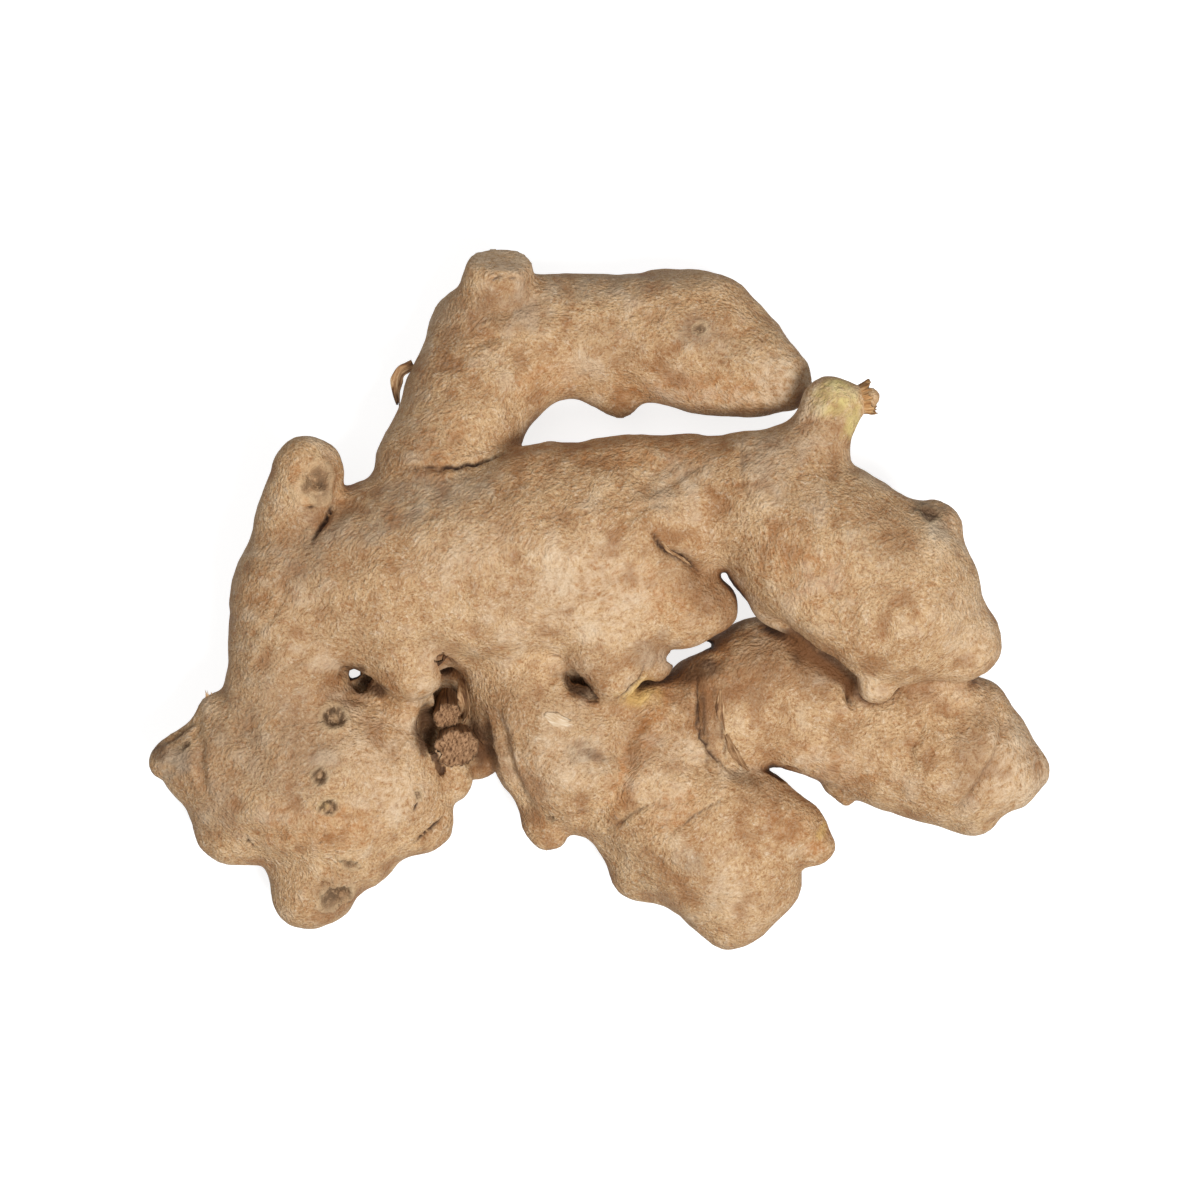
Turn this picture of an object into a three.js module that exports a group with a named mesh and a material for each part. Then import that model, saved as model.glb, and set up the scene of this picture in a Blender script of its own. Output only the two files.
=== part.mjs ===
// A hand of fresh ginger lying on a table: one rhizome that grew as a chain of swollen fingers.
//
// Units are millimetres and +Z is up. The origin is under the middle of the hand, on the surface that it
// rests on. +X runs along the hand's longest side, from the old knob on the left to the finger tips on the
// right, and +Y runs towards the top finger.
//
// Each branch is a ball rolled along a curved axis while its radius changes. The branches are melted into
// one another, a little where two fingers press together and a lot where one finger grows out of another,
// and the skin round all of them is meshed as one closed surface.

import * as THREE from "three";

// Driving dimensions
const CELL = 3; // step of the grid that the skin is meshed on
const BALL_STEP = 1; // distance between two balls along a branch's axis
const FLATTEN = 0.88; // a finger's thickness over its width, because a hand grows in one plane
const SWELLING = 0.4; // height of the slow swellings all over the skin
const SWELLING_LENGTH = 17; // distance between two of those swellings
const SCAR_RIM = 1.2; // rounding of the rim round an old stem's flat scar
const CLEARANCE = 0.1; // how far outside the skin an emptied grid corner counts as
const SKIN_COLOUR = 0xc0a079;

// Every branch, in the order in which it is melted in. A station is [x, y, z, radius], from root to tip,
// and melt is the width of the fillet where the branch meets what is already there. A scar is the flat
// face that an old stem left when it fell, which ends the branch: a point on it and where it faces.
const BRANCHES = [
  {
    name: "mother",
    stations: [
      [-47, -30, 13, 13.5],
      [-52.6, -15, 15, 11],
      [-48.6, 0, 17, 12.7],
      [-34.5, 4.5, 18.5, 16],
      [-18.5, 6.8, 19, 17.6],
      [-2.5, 9.7, 19.5, 17.5],
      [8, 14, 19.5, 13.9],
      [18, 16.2, 20.5, 11.4],
      [27, 16.4, 22, 12.5],
      [33, 12, 22.6, 13.4],
      [39, 7, 23, 15],
      [47.3, 0.6, 23, 14.9],
    ],
  },
  {
    name: "mother_upper_bud",
    melt: 2.5,
    stations: [
      [50, 8, 24, 6.5],
      [56.5, 12.6, 25, 4.5],
    ],
  },
  {
    name: "mother_lower_bud",
    melt: 3,
    stations: [
      [52, -2, 22, 10],
      [59.8, -6.7, 20.5, 7],
    ],
  },
  {
    name: "left_stem_stub",
    melt: 3,
    stations: [
      [-50, 1, 17, 10.5],
      [-50.4, 10, 20, 7.6],
      [-49.8, 16.7, 22.5, 6.5],
      [-48.6, 20.9, 24, 6.3],
    ],
    scar: { at: [-45.8, 20.5, 27.6], facing: [0.55, 0.25, 0.8] },
  },
  {
    name: "column_spur",
    melt: 2,
    stations: [
      [-58, -22, 14, 7],
      [-63, -18.8, 15, 3.4],
    ],
  },
  {
    name: "chin",
    melt: 3,
    stations: [
      [-33, -2, 21, 9],
      [-31, -10.3, 22, 6.7],
    ],
  },
  {
    name: "beak",
    melt: 2.5,
    stations: [
      [3, 3, 21, 11],
      [11, -0.5, 21.5, 8.4],
      [18.8, -2.4, 21, 4.9],
    ],
  },
  {
    name: "shoot",
    melt: 3,
    stations: [
      [28.5, 15, 22, 9.5],
      [32, 21.5, 22.8, 6.9],
      [35.8, 26.7, 24, 5.7],
      [38.5, 31.9, 25, 5.4],
    ],
  },
  {
    name: "shoot_scale",
    melt: 1.5,
    stations: [
      [39, 32.3, 25, 3.6],
      [44.5, 33, 25, 2.3],
    ],
  },
  {
    name: "knob",
    melt: 4,
    stations: [
      [-38, -28.5, 12, 12.8],
      [-46, -30, 11.8, 14.4],
      [-56, -30, 12, 12],
      [-64.3, -27.6, 13, 8.8],
      [-69.8, -25.9, 14, 5],
      [-72, -26.3, 14.5, 3.5],
    ],
  },
  {
    name: "knob_lower_left",
    melt: 3,
    stations: [
      [-54, -33, 11, 9],
      [-60, -37.2, 10.5, 7.7],
    ],
  },
  {
    name: "knob_toe",
    melt: 3,
    stations: [
      [-47, -36, 10.5, 10],
      [-47.5, -48, 9.5, 7.5],
    ],
  },
  {
    name: "knob_bottom",
    melt: 3,
    stations: [
      [-43, -34, 11.5, 10],
      [-41.3, -40.3, 11, 7.8],
    ],
  },
  {
    name: "knob_heel",
    melt: 3,
    stations: [
      [-38, -32, 12, 9],
      [-31.8, -36.7, 11.5, 6],
    ],
  },
  {
    name: "knob_side_bud",
    melt: 1.5,
    stations: [
      [-31, -29, 11, 6],
      [-25.2, -29.2, 12, 4],
    ],
  },
  {
    name: "recess_floor",
    melt: 2,
    stations: [
      [-41, -13, 11, 6],
      [-33, -14, 10, 6],
      [-24.5, -18, 8.5, 6],
      [-26, -27, 8, 5],
    ],
  },
  {
    name: "middle_finger",
    melt: 3,
    stations: [
      [-14, -3, 14, 12],
      [-11, -13, 13.5, 11.8],
      [-5.2, -24.3, 12.8, 12.8],
      [-2, -27, 12.5, 12],
    ],
  },
  {
    name: "middle_finger_nub",
    melt: 1.5,
    stations: [
      [-8, -31, 12, 6],
      [-8.3, -38.6, 12, 3.1],
    ],
  },
  {
    name: "lower_finger",
    melt: 3,
    stations: [
      [-1, -24, 13, 12],
      [10.7, -33.2, 11.5, 13.6],
      [16.5, -39.2, 11.7, 13.1],
      [21, -43.8, 10.2, 11.8],
      [22.6, -51.3, 9.5, 7],
    ],
  },
  {
    name: "lower_finger_shoulder",
    melt: 2.5,
    stations: [
      [12, -41, 11, 8],
      [7.4, -44.3, 10.5, 6.2],
    ],
  },
  {
    name: "lower_finger_brow",
    melt: 2.5,
    stations: [
      [20, -35, 13, 8],
      [26.3, -34, 13, 5.2],
    ],
  },
  {
    name: "lower_finger_bud",
    melt: 2.5,
    stations: [
      [22, -38, 13.5, 9],
      [31, -38.6, 14, 6.3],
      [35.8, -41, 14.5, 3.6],
    ],
  },
  {
    name: "right_finger",
    melt: 2.5,
    stations: [
      [8, -22, 12.5, 10.5],
      [16, -20.6, 12.5, 10.1],
      [22.5, -17.2, 12, 11.6],
      [29, -15.6, 11.4, 11.9],
      [36, -17.8, 11, 10.9],
      [43, -20.9, 10.7, 11.3],
      [52, -24.4, 10.3, 12],
      [59.5, -26.1, 10, 12],
      [66, -27.8, 10.2, 7.9],
      [71.2, -28.7, 10.4, 4],
    ],
  },
  {
    name: "right_finger_toe",
    melt: 2.5,
    stations: [
      [60, -29, 10.5, 8],
      [62.6, -35, 10.2, 4],
    ],
  },
  {
    name: "right_finger_corner",
    melt: 2,
    stations: [
      [65, -29, 10.4, 6.5],
      [69, -31.6, 10.3, 3.8],
    ],
  },
  {
    name: "pale_nub",
    melt: 1.5,
    stations: [
      [44.5, -11, 21, 4],
      [44.5, -14.8, 21.5, 3.2],
    ],
  },
  {
    name: "lip",
    melt: 2.5,
    stations: [
      [1.5, -6, 22.5, 8],
      [2.1, -13, 23, 4],
    ],
  },
  {
    name: "top_finger",
    melt: 2,
    stations: [
      [-26.5, 15, 19, 11],
      [-26, 22, 17.5, 10.7],
      [-23.2, 28.8, 15, 10.3],
      [-20.4, 35.8, 12.5, 10.8],
      [-14.3, 41.9, 10.5, 10.9],
      [-6, 44, 9.5, 10.2],
      [3.2, 44, 9, 10.4],
      [10.5, 44.1, 9.3, 11.2],
      [15.6, 43.8, 9.7, 11.6],
      [21, 41.4, 10.3, 9.3],
      [26, 38.8, 11.2, 7.3],
      [30.2, 36.9, 12.3, 5],
    ],
  },
  {
    name: "top_finger_upper_corner",
    melt: 2,
    stations: [
      [28, 39, 12, 5],
      [32, 38.8, 12.5, 3],
    ],
  },
  {
    name: "top_finger_lower_corner",
    melt: 2,
    stations: [
      [28, 36, 12.5, 5],
      [31.6, 33.9, 13, 3],
    ],
  },
  {
    name: "top_finger_shoulder",
    melt: 3,
    stations: [
      [-18, 40, 11, 8],
      [-20.9, 44.2, 11, 7.6],
    ],
  },
  {
    name: "top_finger_nub",
    melt: 2,
    stations: [
      [1.5, 38, 9.5, 6],
      [3.3, 33.5, 9.5, 3],
    ],
  },
  {
    name: "top_stem_stub",
    melt: 3,
    stations: [
      [-17, 42, 12, 8],
      [-17.6, 50, 14.5, 6],
      [-16.6, 56, 16.5, 5.5],
      [-16.2, 64, 18.5, 5.3],
    ],
    scar: { at: [-16.5, 58.2, 17], facing: [0.12, 0.93, 0.35] },
  },
];

// A Catmull-Rom curve through the stations carries the ball's centre, and another carries its radius.
function ballsAlong(stations) {
  const axis = new THREE.CatmullRomCurve3(
    stations.map(([x, y, z]) => new THREE.Vector3(x, y, z)),
    false,
    "catmullrom",
  );
  const radius = new THREE.SplineCurve(stations.map(([, , , r], i) => new THREE.Vector2(i, r)));
  const count = Math.ceil(axis.getLength() / BALL_STEP);
  return Array.from({ length: count + 1 }, (_, i) => ({
    centre: axis.getPoint(i / count),
    radius: radius.getPoint(i / count).y,
  }));
}

function boundsOf(balls) {
  const bounds = new THREE.Box3();
  for (const { centre, radius } of balls) {
    const width = new THREE.Vector3().setScalar(2 * radius);
    bounds.union(new THREE.Box3().setFromCenterAndSize(centre, width));
  }
  return bounds;
}

function scarPlane({ at, facing }) {
  const normal = new THREE.Vector3(...facing).normalize();
  return new THREE.Plane().setFromNormalAndCoplanarPoint(normal, new THREE.Vector3(...at));
}

function grow(branch) {
  const balls = ballsAlong(branch.stations);
  const plane = branch.scar && scarPlane(branch.scar);
  return { melt: branch.melt, balls, plane, bounds: boundsOf(balls) };
}

// The smaller of two distances, with a fillet of this width where they cross.
function meltedMin(a, b, width) {
  const overlap = Math.max(width - Math.abs(a - b), 0);
  return Math.min(a, b) - (overlap * overlap) / (4 * width);
}

function branchDistance({ balls, plane }, p) {
  let nearest = Infinity;
  for (const { centre, radius } of balls) {
    const rise = (p.z - centre.z) / FLATTEN;
    nearest = Math.min(nearest, Math.hypot(p.x - centre.x, p.y - centre.y, rise) - radius);
  }
  return plane ? -meltedMin(-nearest, -plane.distanceToPoint(p), SCAR_RIM) : nearest;
}

// Three crossed waves, so that no two stretches of a finger swell alike.
function swelling(p) {
  const turn = (2 * Math.PI) / SWELLING_LENGTH;
  const alongX = Math.sin(turn * (p.x + 0.4 * p.y));
  const alongY = Math.sin(turn * (p.y - 0.5 * p.z) + 1);
  const alongZ = Math.sin(turn * (p.z + 0.3 * p.x) + 2);
  return (SWELLING * (alongX + alongY + alongZ)) / 3;
}

// Signed distance from the skin, negative inside the rhizome.
function skinDistance([first, ...others], p) {
  let distance = branchDistance(first, p);
  for (const branch of others) {
    const isNear = branch.bounds.distanceToPoint(p) < distance + branch.melt;
    if (isNear) distance = meltedMin(distance, branchDistance(branch, p), branch.melt);
  }
  return distance + swelling(p);
}

// Signed distances at the corners of a grid of cubic cells, with two empty cells all round the skin. A
// corner has a number, and so has the cell whose lowest corner it is.
class DistanceGrid {
  constructor(bounds, distanceAt) {
    const box = bounds.clone().expandByScalar(2 * CELL);
    const [columns, rows, layers] = box.getSize(new THREE.Vector3()).divideScalar(CELL).ceil().toArray();
    this.lowest = box.min;
    this.strides = [1, columns + 1, (columns + 1) * (rows + 1)];
    this.values = Float64Array.from({ length: this.strides[2] * (layers + 1) }, (_, corner) =>
      distanceAt(this.place(corner)),
    );
    const [x, y, z] = this.strides;
    this.cellOffsets = [0, x, y, x + y, z, x + z, y + z, x + y + z];
  }

  place(corner) {
    const [, row, layer] = this.strides;
    const steps = [corner % row, Math.floor((corner % layer) / row), Math.floor(corner / layer)];
    return new THREE.Vector3(...steps).multiplyScalar(CELL).add(this.lowest);
  }

  isInside(corner) {
    return this.values[corner] < 0;
  }

  crosses(corner, stride) {
    return this.isInside(corner) !== this.isInside(corner + stride);
  }

  cornersOf(cell) {
    return this.cellOffsets.map((offset) => cell + offset);
  }

  // The numbers of the cells that the skin could pass through.
  cells() {
    const last = this.values.length - this.cellOffsets[7];
    return Array.from({ length: last }, (_, cell) => cell).filter((cell) => {
      const inside = this.cornersOf(cell).filter((corner) => this.isInside(corner)).length;
      return inside > 0 && inside < 8;
    });
  }
}

// Whether a cell's inside corners, or its outside ones, fall into two groups that no edge of it joins.
// Two corners that differ in one bit of their place in the list are the two ends of an edge.
function isPinched(inside) {
  const reached = new Set();
  let groups = 0;
  for (let start = 0; start < 8; start++) {
    if (!reached.has(start)) groups++;
    const waiting = [start];
    while (waiting.length > 0) {
      const corner = waiting.pop();
      if (reached.has(corner)) continue;
      reached.add(corner);
      waiting.push(...[corner ^ 1, corner ^ 2, corner ^ 4].filter((next) => inside[next] === inside[corner]));
    }
  }
  return groups > 2;
}

// Where two fingers nearly touch, the skin of one would meet the other's along an edge or at a point. Each
// such cell's inside corner nearest to the skin is emptied, until the two stand clear or are well joined.
function openPinches(grid) {
  let pinched = true;
  while (pinched) {
    pinched = false;
    for (const cell of grid.cells()) {
      const corners = grid.cornersOf(cell);
      if (!isPinched(corners.map((corner) => grid.isInside(corner)))) continue;
      const inside = corners.filter((corner) => grid.isInside(corner));
      const nearest = inside.reduce((a, b) => (grid.values[a] > grid.values[b] ? a : b));
      grid.values[nearest] = CLEARANCE;
      pinched = true;
    }
  }
}

// The middle of the points where the skin crosses a cell's edges. The lowest knuckles are pressed flat by
// the surface that they rest on.
function skinPointIn(grid, cell) {
  const sum = new THREE.Vector3();
  let crossings = 0;
  grid.cornersOf(cell).forEach((corner, place) => {
    grid.strides.forEach((stride, axis) => {
      const isFarEnd = (place >> axis) & 1;
      if (isFarEnd || !grid.crosses(corner, stride)) return;
      const share = grid.values[corner] / (grid.values[corner] - grid.values[corner + stride]);
      sum.add(grid.place(corner).lerp(grid.place(corner + stride), share));
      crossings++;
    });
  });
  const point = sum.divideScalar(crossings);
  return point.setZ(Math.max(point.z, 0));
}

// A square of skin across each grid edge that the skin crosses, between the points in the four cells
// round that edge.
function squaresOver(grid, pointOf) {
  const indices = [];
  for (const corner of grid.values.keys()) {
    grid.strides.forEach((stride, axis) => {
      if (!grid.crosses(corner, stride)) return;
      const u = grid.strides[(axis + 1) % 3];
      const v = grid.strides[(axis + 2) % 3];
      const square = [corner, corner - u, corner - u - v, corner - v].map((cell) => pointOf.get(cell));
      if (!grid.isInside(corner)) square.reverse();
      const [a, b, c, d] = square;
      indices.push(a, b, c, a, c, d);
    });
  }
  return indices;
}

function rhizomeGeometry() {
  const branches = BRANCHES.map(grow);
  const bounds = boundsOf(branches.flatMap(({ balls }) => balls));
  const grid = new DistanceGrid(bounds, (p) => skinDistance(branches, p));
  openPinches(grid);
  const cells = grid.cells();
  const points = cells.map((cell) => skinPointIn(grid, cell));
  const pointOf = new Map(cells.map((cell, i) => [cell, i]));
  const geometry = new THREE.BufferGeometry().setFromPoints(points);
  geometry.setIndex(squaresOver(grid, pointOf));
  geometry.computeVertexNormals();
  geometry.computeBoundingBox();
  const middle = geometry.boundingBox.getCenter(new THREE.Vector3());
  return geometry.translate(-middle.x, -middle.y, 0);
}

const skin = new THREE.MeshStandardMaterial({ color: SKIN_COLOUR, roughness: 0.85, metalness: 0 });
const rhizome = new THREE.Mesh(rhizomeGeometry(), skin);
rhizome.name = "ginger_rhizome";

const ginger = new THREE.Group();
ginger.add(rhizome);

export default ginger;
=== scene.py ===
"""A hand of fresh ginger on a light table, seen from straight above.

The rhizome is one piece. Its branches are balls rolled along curved axes and melted together, as in the
frame's solid, but on a grid fine enough for creases, eyes and cracks. Dried scale leaves and the stubs of
old stems lie on it as thin pieces of their own. Lengths are in millimetres until a mesh is made.
"""

import logging
import math
from dataclasses import dataclass, field
from enum import Enum
from typing import Optional, Sequence

import bpy
import numpy as np
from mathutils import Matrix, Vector
from mathutils.bvhtree import BVHTree


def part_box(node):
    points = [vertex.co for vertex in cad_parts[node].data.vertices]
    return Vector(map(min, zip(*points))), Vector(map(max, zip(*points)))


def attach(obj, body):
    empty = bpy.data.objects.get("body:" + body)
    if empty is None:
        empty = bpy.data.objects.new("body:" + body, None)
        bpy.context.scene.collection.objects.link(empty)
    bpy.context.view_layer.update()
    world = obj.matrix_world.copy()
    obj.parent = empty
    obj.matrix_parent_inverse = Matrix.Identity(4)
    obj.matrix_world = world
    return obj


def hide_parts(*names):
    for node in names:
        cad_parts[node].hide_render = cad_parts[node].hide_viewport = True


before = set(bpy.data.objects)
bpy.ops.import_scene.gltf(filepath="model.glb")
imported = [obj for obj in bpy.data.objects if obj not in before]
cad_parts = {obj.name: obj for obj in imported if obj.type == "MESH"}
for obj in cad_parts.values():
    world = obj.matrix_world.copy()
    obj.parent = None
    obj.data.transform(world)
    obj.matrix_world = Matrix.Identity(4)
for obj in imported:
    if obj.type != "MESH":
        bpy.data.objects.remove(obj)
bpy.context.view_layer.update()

LOG = logging.getLogger("ginger")

MM = 0.001
CAD_NODE = "ginger_rhizome"
BODY = "root"

Triple = tuple[float, float, float]
Pair = tuple[float, float]
Station = tuple[float, float, float, float]

# the eight corners of a grid's cell, as steps along x, y and z
CORNERS = [np.array([corner & 1, corner >> 1 & 1, corner >> 2]) for corner in range(8)]


# --------------------------------------------------------------------------------------- small tools


def linear_rgb(code: str) -> Triple:
    """Turns an sRGB colour into the linear values that the shaders take.

    Args:
        code: the colour as six hex digits, such as "c8a57e".

    Returns:
        Linear red, green and blue.
    """
    channels = [int(code[i : i + 2], 16) / 255 for i in (0, 2, 4)]
    return tuple(c / 12.92 if c <= 0.04045 else ((c + 0.055) / 1.055) ** 2.4 for c in channels)


def rgba(code: str) -> tuple[float, float, float, float]:
    """Returns an sRGB hex colour as linear values with full alpha."""
    return (*linear_rgb(code), 1.0)


def smooth_step(values: np.ndarray, low: float, high: float) -> np.ndarray:
    """Eases from 0 at low to 1 at high, which may be the smaller of the two.

    Args:
        values: numbers of any shape.
        low: where the step starts.
        high: where it ends.

    Returns:
        The eased numbers, in the same shape.
    """
    t = np.clip((values - low) / (high - low), 0, 1)
    return t * t * (3 - 2 * t)


def melted_min(a: np.ndarray, b: np.ndarray, width: float) -> np.ndarray:
    """Takes the smaller of two distances, with a fillet where they cross.

    Args:
        a: one set of signed distances.
        b: the other set.
        width: the fillet's width.

    Returns:
        The joined distances.
    """
    overlap = np.maximum(width - np.abs(a - b), 0)
    return np.minimum(a, b) - overlap * overlap / (4 * width)


def catmull_rom(points: np.ndarray, step: float) -> np.ndarray:
    """Runs a smooth curve through points.

    Args:
        points: one row for each station, its first three columns a place in mm.
        step: the distance between two samples, in mm.

    Returns:
        The samples, with as many columns as the stations have.
    """
    ends = (2 * points[0] - points[1], 2 * points[-1] - points[-2])
    padded = np.vstack([ends[0], points, ends[1]])
    samples = []
    for i in range(len(points) - 1):
        p0, p1, p2, p3 = padded[i : i + 4]
        count = max(2, math.ceil(np.linalg.norm(p2[:3] - p1[:3]) / step))
        t = np.linspace(0, 1, count, endpoint=False)[:, None]
        samples.append(
            0.5
            * (
                2 * p1
                + (p2 - p0) * t
                + (2 * p0 - 5 * p1 + 4 * p2 - p3) * t**2
                + (3 * p1 - p0 - 3 * p2 + p3) * t**3
            )
        )
    return np.vstack([*samples, points[-1:]])


class Noise:
    """Smooth random heights in space, between about -1 and 1, the same in every run."""

    LATTICE = 256
    OCTAVE_STEP = 17.3

    def __init__(self, seed: int) -> None:
        """Deals the lattice's random heights.

        Args:
            seed: the number that the heights follow from.
        """
        random = np.random.default_rng(seed)
        self.order = random.permutation(self.LATTICE)
        self.heights = random.uniform(-1, 1, self.LATTICE)

    def _corner(self, cell: np.ndarray) -> np.ndarray:
        """Returns the random height at each lattice point.

        Args:
            cell: the lattice points, one to a row.

        Returns:
            One height for each of them, from -1 to 1.
        """
        mask = self.LATTICE - 1
        first = self.order[cell[:, 0] & mask]
        second = self.order[(first + cell[:, 1]) & mask]
        return self.heights[self.order[(second + cell[:, 2]) & mask]]

    def at(self, points: np.ndarray, length: float, octaves: int = 1) -> np.ndarray:
        """Reads the noise at places in space.

        Args:
            points: the places in mm, one to a row.
            length: the size of its largest swellings in mm.
            octaves: how many times finer and fainter swellings are added.

        Returns:
            One height for each place.
        """
        total = np.zeros(len(points))
        for octave in range(octaves):
            scaled = points * (2**octave / length) + self.OCTAVE_STEP * octave
            cell = np.floor(scaled).astype(np.int64)
            t = scaled - cell
            t = t * t * t * (t * (6 * t - 15) + 10)
            for corner in CORNERS:
                weight = np.prod(np.where(corner, t, 1 - t), axis=1)
                total += weight * self._corner(cell + corner) / 2**octave
        return total


# ------------------------------------------------------------------------------- how the hand grows


@dataclass(frozen=True)
class StemScar:
    """The flat face that an old stem left when it fell.

    Args:
        at: a point on the face, in mm.
        facing: the direction that it faces.
    """

    at: Triple
    facing: Triple


@dataclass(frozen=True)
class Branch:
    """A finger, bud or stub: a ball rolled along a curve while its radius changes.

    Args:
        name: what the branch is.
        melt: the width in mm of the fillet where it meets what is already there.
        stations: x, y, z and radius in mm, from root to tip.
        scar: the flat face that ends it, if an old stem fell from it.
    """

    name: str
    melt: float
    stations: Sequence[Station]
    scar: Optional[StemScar] = None

    BALL_STEP = 0.8

    def balls(self) -> np.ndarray:
        """Returns each ball's centre and radius, one to a row."""
        return catmull_rom(np.array(self.stations, float), self.BALL_STEP)


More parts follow.
